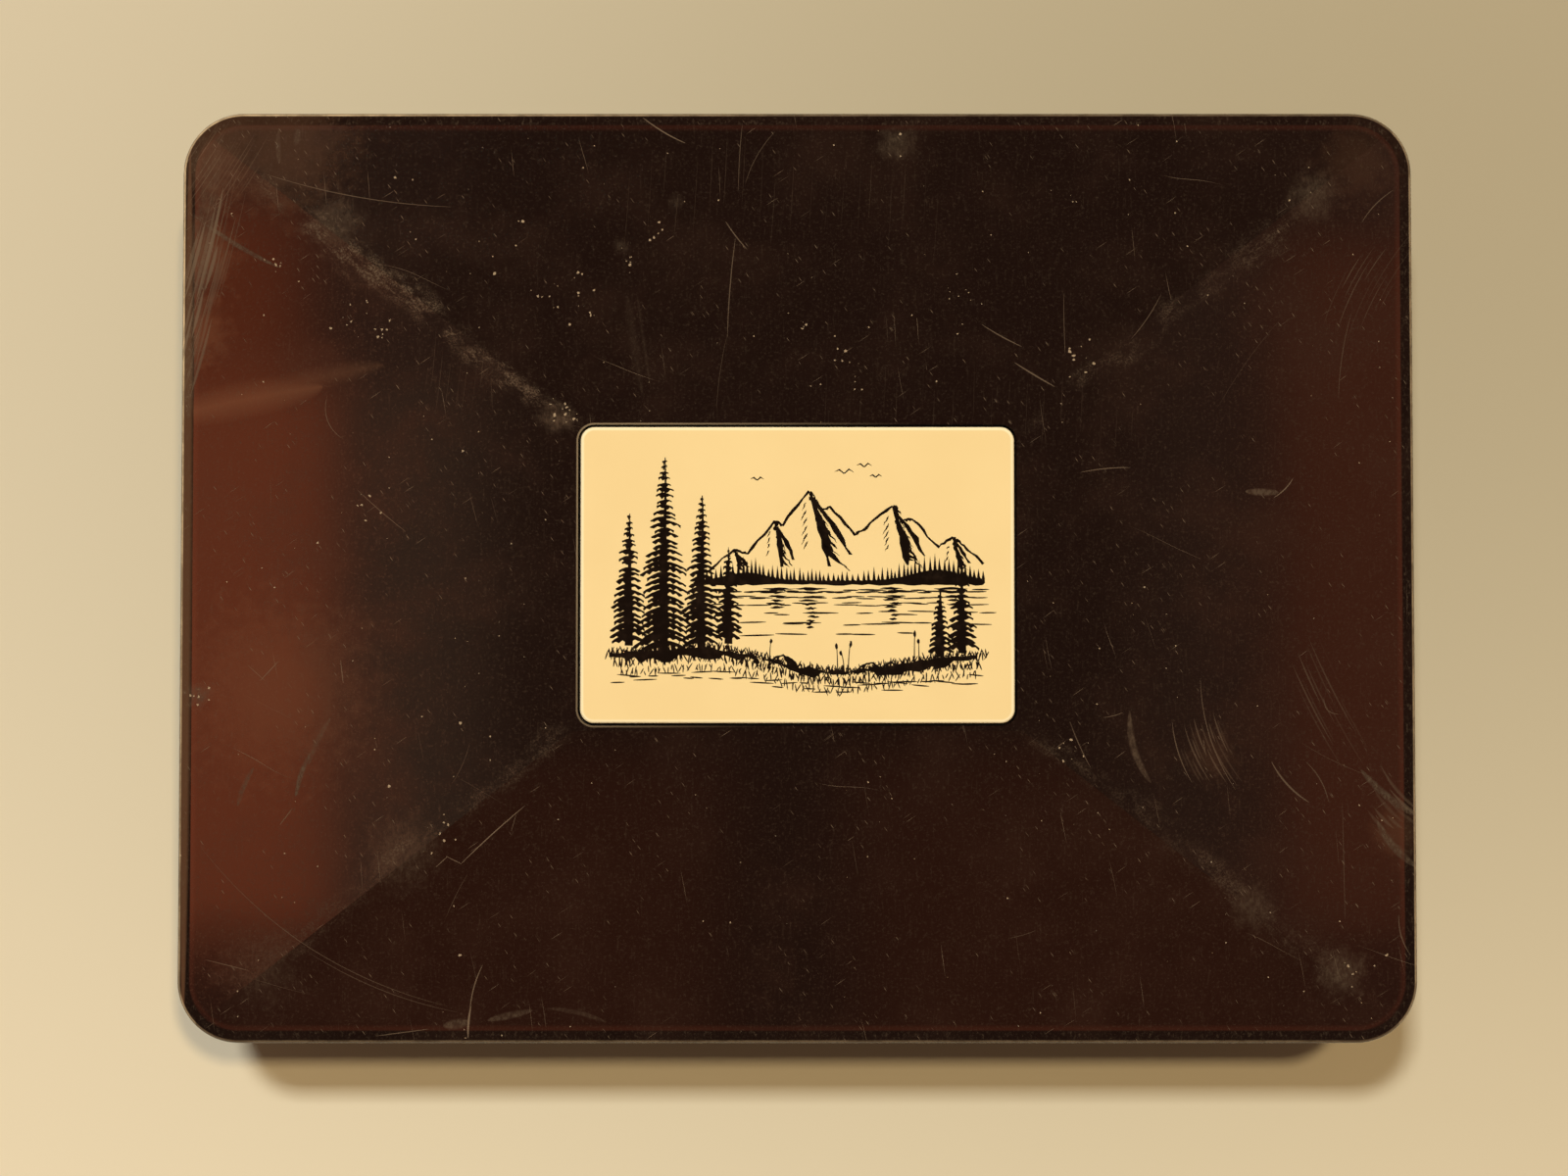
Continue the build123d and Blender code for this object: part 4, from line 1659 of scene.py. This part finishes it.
@dataclass
class FeltLiner:
    """One sheet of felt that lies on the floor of a card well; lengths in millimetres."""

    side: str
    corner: float = 2.0
    corner_steps: int = 5
    rounding: float = 0.25
    rounding_steps: int = 3
    cell: float = 3.0
    least_share: float = 0.4
    lift: float = 0.14
    bed: float = 0.01
    fuzz: float = 0.03
    wave_scale: float = 0.055
    fuzz_scale: float = 1.7
    seed: int = 3

    def build(self, finish: bpy.types.Material) -> bpy.types.Object:
        """Args:
            finish: The felt.

        Returns:
            The liner's object.
        """
        node = f"{self.side}_well_liner"
        low, high = in_mm(node)
        shape = bmesh.new()
        outline = self.outline(low, high)
        base = [shape.verts.new((x, y, low.z)) for x, y in outline]
        bottom = shape.faces.new(list(reversed(base)))
        grown = bmesh.ops.extrude_face_region(shape, geom=[bottom])
        moved = [item for item in grown["geom"] if isinstance(item, bmesh.types.BMVert)]
        bmesh.ops.translate(shape, verts=moved, vec=(0.0, 0.0, high.z - low.z))
        bmesh.ops.recalc_face_normals(shape, faces=shape.faces)
        rims = [edge for edge in shape.edges if edge.verts[0].co.z == edge.verts[1].co.z]
        bmesh.ops.bevel(shape, geom=rims, offset=self.rounding, segments=self.rounding_steps,
                        affect="EDGES")
        self.cut(shape, low, high)
        self.wave(shape, (low.z + high.z) / 2)
        bmesh.ops.scale(shape, vec=(MM, MM, MM), verts=shape.verts)
        bmesh.ops.recalc_face_normals(shape, faces=shape.faces)
        mesh = bpy.data.meshes.new(f"{self.side}_felt")
        shape.to_mesh(mesh)
        shape.free()
        for face in mesh.polygons:
            face.use_smooth = True
        piece = new_piece(f"{self.side}_felt", mesh, finish, Body.BASE)
        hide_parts(node)
        return piece

    def outline(self, low: Vector, high: Vector) -> list[Place]:
        """Gives the sheet's outline with its rounded corners.

        Args:
            low: The sheet's lowest corner.
            high: Its highest corner.

        Returns:
            The outline's points in order, in millimetres.
        """
        points = []
        corners = ((high.x, high.y, 0), (low.x, high.y, 1), (low.x, low.y, 2), (high.x, low.y, 3))
        middle = (low + high) / 2
        for x, y, quarter in corners:
            centre = Vector((x - math.copysign(self.corner, x - middle.x),
                             y - math.copysign(self.corner, y - middle.y)))
            for step in range(self.corner_steps + 1):
                angle = math.radians(90 * quarter + 90 / self.corner_steps * step)
                points.append((centre.x + self.corner * math.cos(angle),
                               centre.y + self.corner * math.sin(angle)))
        return points

    def cut(self, shape: bmesh.types.BMesh, low: Vector, high: Vector) -> None:
        """Cuts the sheet into small faces, none narrower than the least share of a cell.

        Args:
            shape: The sheet's mesh.
            low: The sheet's lowest corner.
            high: Its highest corner.
        """
        for axis, start, end in ((0, low.x, high.x), (1, low.y, high.y)):
            place = start + self.cell
            normal = Vector((1.0, 0.0, 0.0)) if axis == 0 else Vector((0.0, 1.0, 0.0))
            while place < end - self.cell * self.least_share:
                bmesh.ops.bisect_plane(shape, geom=[*shape.verts, *shape.edges, *shape.faces],
                                       plane_co=normal * place, plane_no=normal)
                place += self.cell

    def wave(self, shape: bmesh.types.BMesh, middle: float) -> None:
        """Lifts the sheet a little here and there, and roughens its upper side, as use does.

        Args:
            shape: The sheet's mesh.
            middle: The height above which the upper side is.
        """
        for vertex in shape.verts:
            place = vertex.co * self.wave_scale + Vector((self.seed, self.seed, 0.0))
            rise = max(0.0, noise.noise(Vector((place.x, place.y, 0.0))))
            vertex.co.z += self.bed + rise * self.lift
            fuzz = noise.noise(vertex.co * self.fuzz_scale)
            if vertex.co.z > middle:
                vertex.co.z += fuzz * self.fuzz


@dataclass(frozen=True)
class Ink:
    """The print's brown-black ink, slightly rubbed."""

    name: str = "plaque_ink"
    full: Colour = (0.0050, 0.0028, 0.0018, 1.0)
    rubbed: Colour = (0.0120, 0.0075, 0.0050, 1.0)

    def build(self) -> bpy.types.Material:
        """Builds the material.

        Returns:
            The material.
        """
        material, graph, shader = new_material(self.name)
        solid = solid_place(graph)
        patch = graph.step(graph.noise(solid, 0.9, 3.0, 0.6), 0.45, 0.75)
        graph.supply(shader, Base_Color=graph.mix_colour(patch, self.full, self.rubbed),
                     Roughness=graph.mix(patch, 0.28, 0.38), Specular_IOR_Level=0.3)
        return material


def dress(node: str, material: bpy.types.Material) -> None:
    """Gives a CAD node its finish.

    Args:
        node: The CAD node's name.
        material: The finish.
    """
    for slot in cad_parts[node].material_slots:
        slot.material = material
    log.info("dressed %s in %s", node, material.name)


def from_photo(x: float, y: float) -> Place:
    """Turns a place in the photograph into millimetres on the lid.

    Args:
        x: Pixels from the photograph's left side.
        y: Pixels from its top.

    Returns:
        Millimetres to the right and to the rear of the lid's middle.
    """
    middle_x, middle_y = PHOTO_LID_MIDDLE
    return (x - middle_x) / PHOTO_PIXELS_PER_MM, (middle_y - y) / PHOTO_PIXELS_PER_MM


def lid_wear() -> Wear:
    """Lists the scratches, smears, chips and dull patches on the lid's top.

    Returns:
        The lid's wear.
    """
    marks = (
        Mark((270, 180), (460, 214), 0.7, 0.055, 0.45),
        Mark((655, 121), (699, 148), 0.2, 0.08, 0.8),
        Mark((757, 127), (753, 197), 0.1, 0.045, 0.45),
        Mark((791, 135), (760, 190), 0.4, 0.045, 0.35),
        Mark((750, 246), (742, 349), 0.15, 0.06, 0.55),
        Mark((742, 345), (731, 424), 0.2, 0.04, 0.22),
        Mark((740, 229), (762, 258), 0.1, 0.07, 0.6),
        Mark((1000, 335), (1041, 358), 0.1, 0.07, 0.6),
        Mark((1033, 374), (1074, 399), 0.05, 0.10, 0.6),
        Mark((1084, 303), (1085, 367), 0.05, 0.05, 0.35),
        Mark((1100, 486), (1151, 481), -0.15, 0.06, 0.65),
        Mark((1297, 511), (1317, 491), 0.2, 0.07, 0.75),
        Mark((1152, 350), (1183, 304), 0.2, 0.05, 0.45),
        Mark((1422, 196), (1389, 230), 0.3, 0.06, 0.45),
        Mark((1378, 322), (1364, 410), 0.3, 0.05, 0.30),
        Mark((1304, 330), (1240, 420), 0.3, 0.03, 0.16),
        Mark((538, 823), (473, 882), 0.1, 0.065, 0.85),
        Mark((474, 882), (458, 874), 0.0, 0.05, 0.7),
        Mark((460, 874), (448, 885), 0.0, 0.05, 0.7),
        Mark((529, 832), (524, 849), 0.0, 0.04, 0.5),
        Mark((350, 676), (353, 700), 0.0, 0.06, 0.55),
        Mark((302, 826), (289, 843), 0.0, 0.06, 0.5),
        Mark((255, 681), (273, 697), 0.0, 0.04, 0.45),
        Mark((268, 697), (287, 677), 0.0, 0.05, 0.55),
        Mark((366, 503), (416, 546), 0.1, 0.05, 0.45),
        Mark((209, 866), (460, 1026), 2.6, 0.055, 0.30),
        Mark((320, 972), (470, 1032), 0.8, 0.05, 0.28),
        Mark((480, 892), (458, 936), 0.1, 0.04, 0.25),
        Mark((495, 984), (482, 1030), 0.25, 0.07, 0.75),
        Mark((483, 1026), (480, 1058), 0.1, 0.13, 0.9),
        Mark((388, 1056), (440, 1049), 0.0, 0.06, 0.6),
        Mark((214, 979), (259, 990), 0.0, 0.05, 0.4),
        Mark((482, 760), (464, 801), -0.2, 0.04, 0.25),
        Mark((1192, 738), (1212, 800), 0.4, 0.07, 0.45),
        Mark((1221, 694), (1256, 807), 0.9, 0.06, 0.45),
        Mark((1293, 779), (1331, 820), 0.4, 0.12, 0.5),
        Mark((1328, 779), (1351, 820), -0.4, 0.07, 0.35),
        Mark((1365, 820), (1367, 939), 0.0, 0.05, 0.25),
        Mark((1088, 738), (1109, 785), 0.1, 0.06, 0.45),
        Mark((1122, 734), (1142, 729), 0.1, 0.05, 0.5),
        Mark((1422, 934), (1434, 975), 0.4, 0.07, 0.45),
        Mark((1347, 713), (1364, 731), 0.7, 0.05, 0.5),
        Mark((335, 407), (352, 452), 0.9, 0.05, 0.45),
        Mark((1026, 957), (1054, 949), 0.1, 0.04, 0.28),
    )
    smears = (
        Mark((198, 223), (285, 276), 0.3, 0.30, 0.50),
        Mark((222, 150), (196, 350), 0.4, 1.50, 0.28),
        Mark((206, 215), (192, 430), 0.2, 1.10, 0.34),
        Mark((283, 134), (284, 169), 0.1, 0.32, 0.34),
        Mark((303, 133), (301, 150), 0.0, 0.40, 0.28),
        Mark((320, 770), (305, 814), 0.2, 0.32, 0.55),
        Mark((340, 735), (318, 782), 0.2, 0.35, 0.30),
        Mark((262, 785), (246, 824), 0.2, 0.35, 0.30),
        Mark((1149, 728), (1170, 800), 0.7, 0.45, 0.50),
        Mark((1384, 787), (1441, 834), 0.4, 0.45, 0.55),
        Mark((1400, 838), (1442, 886), 0.5, 0.50, 0.50),
        Mark((455, 1046), (482, 1042), 0.0, 0.60, 0.50),
        Mark((500, 1040), (545, 1030), 0.0, 0.45, 0.40),
        Mark((560, 1028), (620, 1042), -0.3, 0.30, 0.25),
        Mark((640, 305), (655, 405), 0.0, 0.70, 0.12, 1.0),
        Mark((650, 305), (664, 400), 0.0, 0.25, 0.14, 1.0),
        Mark((1268, 505), (1302, 506), 0.0, 0.45, 0.60),
    )
    bundles = (
        Bundle((212, 268), 75.0, 22.0, 5.0, 0.30, 0.15, 0.4, 1.0, 0.42),
        Bundle((207, 275), 75.0, 19.0, 4.4, 0.62, 0.52, 0.4, 2.0, 0.62),
        Bundle((199, 345), 76.0, 19.0, 3.6, 0.50, 0.42, 0.4, 3.0, 0.62),
        Bundle((1396, 288), 60.0, 15.0, 6.0, 0.55, 0.13, -0.9, 3.0, 0.30),
        Bundle((1349, 718), -63.0, 19.0, 4.6, 0.46, 0.20, 0.6, 4.0, 0.26),
        Bundle((1226, 768), -66.0, 8.5, 5.6, 0.36, 0.24, 0.5, 5.0, 0.30),
        Bundle((226, 163), 58.0, 13.0, 9.0, 0.45, 0.12, 0.3, 10.0, 0.34),
        Bundle((1418, 835), -42.0, 9.0, 5.5, 0.62, 0.44, 0.9, 6.0, 0.34),
        Bundle((465, 385), 84.0, 11.0, 9.0, 0.85, 0.06, 0.2, 7.0, 0.18),
        Bundle((800, 205), 86.0, 12.0, 40.0, 1.70, 0.06, 0.1, 8.0, 0.20),
        Bundle((1000, 420), 87.0, 12.0, 40.0, 1.90, 0.06, 0.1, 9.0, 0.15),
    )
    chipped = (
        Patch((586, 302), 3.6, 0.35), Patch((634, 254), 1.5, 0.9), Patch((664, 236), 2.0, 0.4),
        Patch((855, 370), 2.8, 0.35), Patch((874, 398), 1.1, 1.0), Patch((974, 300), 2.2, 0.5),
        Patch((980, 340), 1.0, 0.8), Patch((572, 430), 2.4, 0.9), Patch((361, 325), 3.0, 0.42),
        Patch((283, 272), 1.1, 0.9), Patch((204, 713), 1.9, 0.6), Patch((452, 850), 3.2, 0.3),
        Patch((388, 340), 1.8, 0.45), Patch((376, 316), 1.3, 0.5), Patch((548, 300), 1.5, 0.7),
        Patch((600, 322), 2.0, 0.6), Patch((530, 232), 0.9, 0.9), Patch((424, 250), 0.7, 0.9),
        Patch((638, 271), 1.1, 0.8),
        Patch((820, 337), 0.9, 1.0), Patch((874, 374), 1.0, 0.8), Patch((853, 380), 0.8, 0.8),
        Patch((697, 209), 1.2, 0.8), Patch((670, 229), 0.8, 0.9), Patch((1085, 765), 3.0, 0.35),
        Patch((1221, 868), 0.45, 1.0), Patch((1372, 990), 2.6, 0.4), Patch((1372, 1041), 0.5, 1.0),
        Patch((480, 1053), 1.1, 0.9), Patch((1110, 365), 3.6, 0.25), Patch((380, 520), 3.0, 0.25),
    )
    rubbed = (
        Patch((345, 228), 3.6, 0.34), Patch((1340, 204), 3.4, 0.30), Patch((1362, 992), 3.4, 0.42),
        Patch((914, 148), 2.6, 0.35), Patch((634, 254), 1.1, 0.2), Patch((690, 209), 1.2, 0.2),
        Patch((567, 432), 2.2, 0.45), Patch((415, 870), 5.2, 0.26), Patch((204, 713), 1.8, 0.45),
        Patch((1272, 925), 3.0, 0.30), Patch((270, 985), 6.0, 0.16), Patch((210, 170), 4.0, 0.25),
    )
    films_and_reflections = (
        # The first two marks are painted reflections of a pale streak; the rest are tan film and haze.
        Mark((165, 430), (330, 398), -0.25, 2.2, 0.24, 1.0),
        Mark((235, 416), (392, 376), -0.35, 1.5, 0.13, 1.0),
        Mark((192, 150), (191, 1040), 0.0, 0.75, 0.42, 1.6),
        Patch((215, 150), 9.0, 0.20), Patch((290, 150), 10.0, 0.16), Patch((240, 135), 7.0, 0.16),
        Patch((205, 260), 5.0, 0.20), Patch((198, 340), 5.0, 0.20), Patch((1232, 772), 3.6, 0.08),
        Patch((1422, 850), 4.0, 0.12), Patch((285, 705), 13.0, 0.12), Patch((1385, 165), 5.5, 0.08),
    )
    return Wear(marks, smears, bundles, chipped, rubbed, films_and_reflections)


@dataclass
class Lid:
    """The lid moulding and the plate that is let into it."""

    shell_wear: float = 1.0

    def dress(self) -> None:
        """Gives the lid's nodes their finishes, and the plate its print."""
        dress("lid_shell", CasePlastic("lid_plastic", self.shell_wear, lid_wear()).build())
        dress("lid_plaque", IvoryPlastic().build())
        dress("plaque_adhesive", GlueFilm().build())
        PlaquePrint().build()


@dataclass
class Base:
    """The base moulding, its divider, pins and felt."""

    tray_wear: float = 0.5
    divider_wear: float = 0.25

    def dress(self) -> None:
        """Gives the base's nodes their finishes, and its wells their felt."""
        dress("base_tray", CasePlastic("base_plastic", self.tray_wear).build())
        dress("well_divider", CasePlastic("divider_plastic", self.divider_wear).build())
        steel = Steel().build()
        felt = Felt().build()
        for seed, side in enumerate(("left", "right")):
            dress(f"{side}_hinge_pin", steel)
            FeltLiner(side, seed=5 + 9 * seed).build(felt)


def glowing(name: str) -> tuple[bpy.types.Material, Graph, bpy.types.Node]:
    """Makes a black material that mirrors nothing and only glows.

    Args:
        name: The material's name.

    Returns:
        The material, its graph and the shader node, whose emission colour is still to be set.
    """
    material, graph, shader = new_material(name)
    graph.supply(shader, Base_Color=BLACK, Specular_IOR_Level=0.0, Emission_Strength=1.0)
    return material, graph, shader


def on_stage(thing: bpy.types.Object, *hidden: str) -> bpy.types.Object:
    """Hides a studio object from some kinds of light, and logs it.

    Args:
        thing: The object.
        *hidden: The kinds of ray that don't see it, such as glossy.

    Returns:
        The same object.
    """
    for way in hidden:
        setattr(thing, f"visible_{way}", False)
    log.info("set up %s", thing.name)
    return thing


@dataclass(frozen=True)
class Card:
    """A card that only shows as a reflection, as a wall or a sleeve near the case does.

    Its colour changes with the distance from the middle, in millimetres: from the first stop
    to the second it brightens to its first colour, and from the third to the fourth it
    changes to its second one.
    """

    name: str
    corners: tuple[Place, ...]
    first: Colour
    second: Colour
    stops: tuple[float, float, float, float]
    height: float = 0.62
    faint: Colour = (0.075, 0.068, 0.052, 1.0)

    def build(self) -> bpy.types.Object:
        """Builds the card, level above the case.

        Returns:
            The card's object.
        """
        mesh = bpy.data.meshes.new(self.name)
        points = [(x * MM, y * MM, self.height) for x, y in self.corners]
        mesh.from_pydata(points, [], [tuple(range(len(points)))])
        material, graph, shader = glowing(self.name)
        away = graph.math("ABSOLUTE", graph.split(solid_place(graph))[0])
        rise, full, turn, end = self.stops
        near = graph.mix_colour(graph.step(away, rise, full), self.faint, self.first)
        far = graph.mix_colour(graph.step(away, turn, end), near, self.second)
        graph.supply(shader, Emission_Color=far)
        card = new_object(self.name, mesh, material)
        return on_stage(card, "camera", "diffuse", "shadow", "transmission")


@dataclass(frozen=True)
class Lamp:
    """A soft lamp that points straight down; its place and size are in metres, its power in watts."""

    name: str
    place: tuple[float, float, float]
    size: tuple[float, float]
    power: float
    colour: tuple[float, float, float]

    def build(self) -> bpy.types.Object:
        """Builds the lamp, which the case doesn't mirror.

        Returns:
            The lamp's object.
        """
        data = bpy.data.lights.new(self.name, "AREA")
        data.shape = "RECTANGLE"
        data.size, data.size_y = self.size
        data.energy = self.power
        data.color = self.colour
        light = bpy.data.objects.new(self.name, data)
        light.location = self.place
        light.visible_glossy = False
        bpy.context.scene.collection.objects.link(light)
        log.info("set up %s", self.name)
        return light


@dataclass
class Studio:
    """The floor, the lights and the camera."""

    lamps: tuple[Lamp, ...] = (
        Lamp("white_lamp", (-0.27, 0.60, 1.6), (0.20, 0.17), 19.8, (1.0, 1.0, 0.92)),
        Lamp("warm_lamp", (0.32, 0.335, 1.6), (0.10, 0.11), 11.4, (1.0, 0.76, 0.43)),
    )
    camera_distance: float = 0.273
    camera_tilt: float = math.radians(1.9)
    camera_aim: Place = (-1.40, -1.38)
    focal_length: float = 60.0
    sensor_width: float = 36.0
    floor_size: float = 2.4
    wall_sides: int = 96
    wall_heights: tuple[float, float] = (-0.02, 1.5)
    wall_colour: Colour = (0.56, 0.43, 0.27, 1.0)
    floor_colour: tuple[float, float, float] = (0.85, 0.775, 0.615)
    # Painted light falloff: brighter in front and to the left, painted shade to the right and rear.
    floor_light_falloff: tuple[tuple[float, float, float], ...] = (
        (1.15, 1.15, 1.16), (1.10, 1.10, 1.10), (0.776, 0.785, 0.795), (0.50, 0.49, 0.45))
    zenith: Colour = (0.075, 0.068, 0.052, 1.0)
    horizon: Colour = (0.29, 0.13, 0.06, 1.0)

    def build(self) -> None:
        """Builds the whole studio."""
        self.floor()
        self.backdrop()
        self.lights()
        self.reflections()
        self.camera()

    def floor(self) -> None:
        """Lays a pale floor at the height that the case stands on, with painted light falloff: brighter in
        front and to the left, and painted shade to the right and rear.
        """
        half = self.floor_size / 2
        mesh = bpy.data.meshes.new("floor")
        corners = [(-half, -half, 0), (half, -half, 0), (half, half, 0), (-half, half, 0)]
        mesh.from_pydata(corners, [], [(0, 1, 2, 3)])
        material, graph, shader = new_material("pale_floor")
        x, y, _ = graph.split(solid_place(graph))
        # Painted shade toward the right and the rear.
        right = graph.step(x, -150.0, 90.0)
        rear = graph.step(y, -190.0, 60.0)
        tones = [(*(value * share for value, share in zip(self.floor_colour, tint)), 1.0)
                 for tint in self.floor_light_falloff]
        in_front = graph.mix_colour(right, tones[0], tones[1])
        behind = graph.mix_colour(right, tones[2], tones[3])
        graph.supply(shader, Base_Color=graph.mix_colour(rear, in_front, behind), Roughness=0.9,
                     Specular_IOR_Level=0.1)
        on_stage(new_object("floor", mesh, material))

    def lights(self) -> None:
        """Sets up two soft lamps over the rear edge, and a dome that is dark overhead."""
        for lamp in self.lamps:
            lamp.build()
        world = bpy.data.worlds.new("studio")
        bpy.context.scene.world = world
        world.use_nodes = True
        graph = Graph(world.node_tree)
        upward = graph.split(graph.add("ShaderNodeTexCoord").outputs["Generated"])[2]
        overhead = graph.step(upward, 0.38, 0.72)
        graph.supply(world.node_tree.nodes["Background"],
                     Color=graph.mix_colour(overhead, self.horizon, self.zenith))
        bpy.context.scene.view_settings.view_transform = "Standard"

    def reflections(self) -> None:
        """Hangs the cards that the left and right facets mirror."""
        cards = (
            Card("left_card", ((-310, -97), (-128, -97), (-128, 88), (-310, 88)),
                 (0.42, 0.30, 0.20, 1.0), (2.40, 0.56, 0.23, 1.0), (130, 172, 193, 212)),
            Card("left_card_above", ((-310, 88), (-128, 88), (-128, 150), (-310, 150)),
                 (0.26, 0.17, 0.12, 1.0), (1.70, 0.36, 0.14, 1.0), (135, 180, 200, 228)),
            Card("left_card_corner", ((-310, 150), (-90, 150), (-90, 260), (-310, 260)),
                 (0.30, 0.19, 0.13, 1.0), (0.85, 0.36, 0.21, 1.0), (95, 190, 215, 260)),
            Card("right_card", ((150, -97), (310, -97), (310, 138), (150, 138)),
                 (0.20, 0.14, 0.10, 1.0), (0.78, 0.23, 0.115, 1.0), (152, 180, 207, 222)),
            Card("right_card_corner", ((150, 138), (310, 138), (310, 260), (150, 260)),
                 (0.15, 0.10, 0.07, 1.0), (0.30, 0.17, 0.12, 1.0), (152, 180, 210, 260)),
            Card("front_card", ((-310, -310), (310, -310), (310, -97), (-310, -97)),
                 (0.29, 0.105, 0.06, 1.0), (0.27, 0.11, 0.07, 1.0), (0, 40, 150, 230)),
        )
        for card in cards:
            card.build()

    def backdrop(self) -> None:
        """Stands a pale wall round the floor that only the camera sees."""
        count, reach = self.wall_sides, self.floor_size / 2
        turns = [math.tau * index / count for index in range(count)]
        points = [(reach * math.cos(turn), reach * math.sin(turn), height)
                  for height in self.wall_heights for turn in turns]
        faces = [(index, (index + 1) % count, count + (index + 1) % count, count + index)
                 for index in range(count)]
        mesh = bpy.data.meshes.new("backdrop")
        mesh.from_pydata(points, [], faces)
        material, graph, shader = glowing("pale_backdrop")
        graph.supply(shader, Emission_Color=self.wall_colour)
        on_stage(new_object("backdrop", mesh, material), "glossy", "diffuse", "shadow", "transmission")

    def camera(self) -> None:
        """Stands the camera over the case at the photograph's angle."""
        data = bpy.data.cameras.new("camera")
        data.sensor_width = self.sensor_width
        data.lens = self.focal_length
        camera = bpy.data.objects.new("camera", data)
        aim = Vector((self.camera_aim[0] * MM, self.camera_aim[1] * MM, CAD_BOUNDS[1][2]))
        back = Vector((0, -math.sin(self.camera_tilt), math.cos(self.camera_tilt)))
        camera.location = aim + back * self.camera_distance
        camera.rotation_euler = (self.camera_tilt, 0, 0)
        bpy.context.scene.collection.objects.link(camera)
        bpy.context.scene.camera = camera


def main() -> None:
    """Builds the case's looks and its studio, in order."""
    logging.basicConfig(level=logging.INFO, format="%(name)s: %(message)s")
    Lid().dress()
    Base().dress()
    Studio().build()


if __name__ == "__main__":
    main()
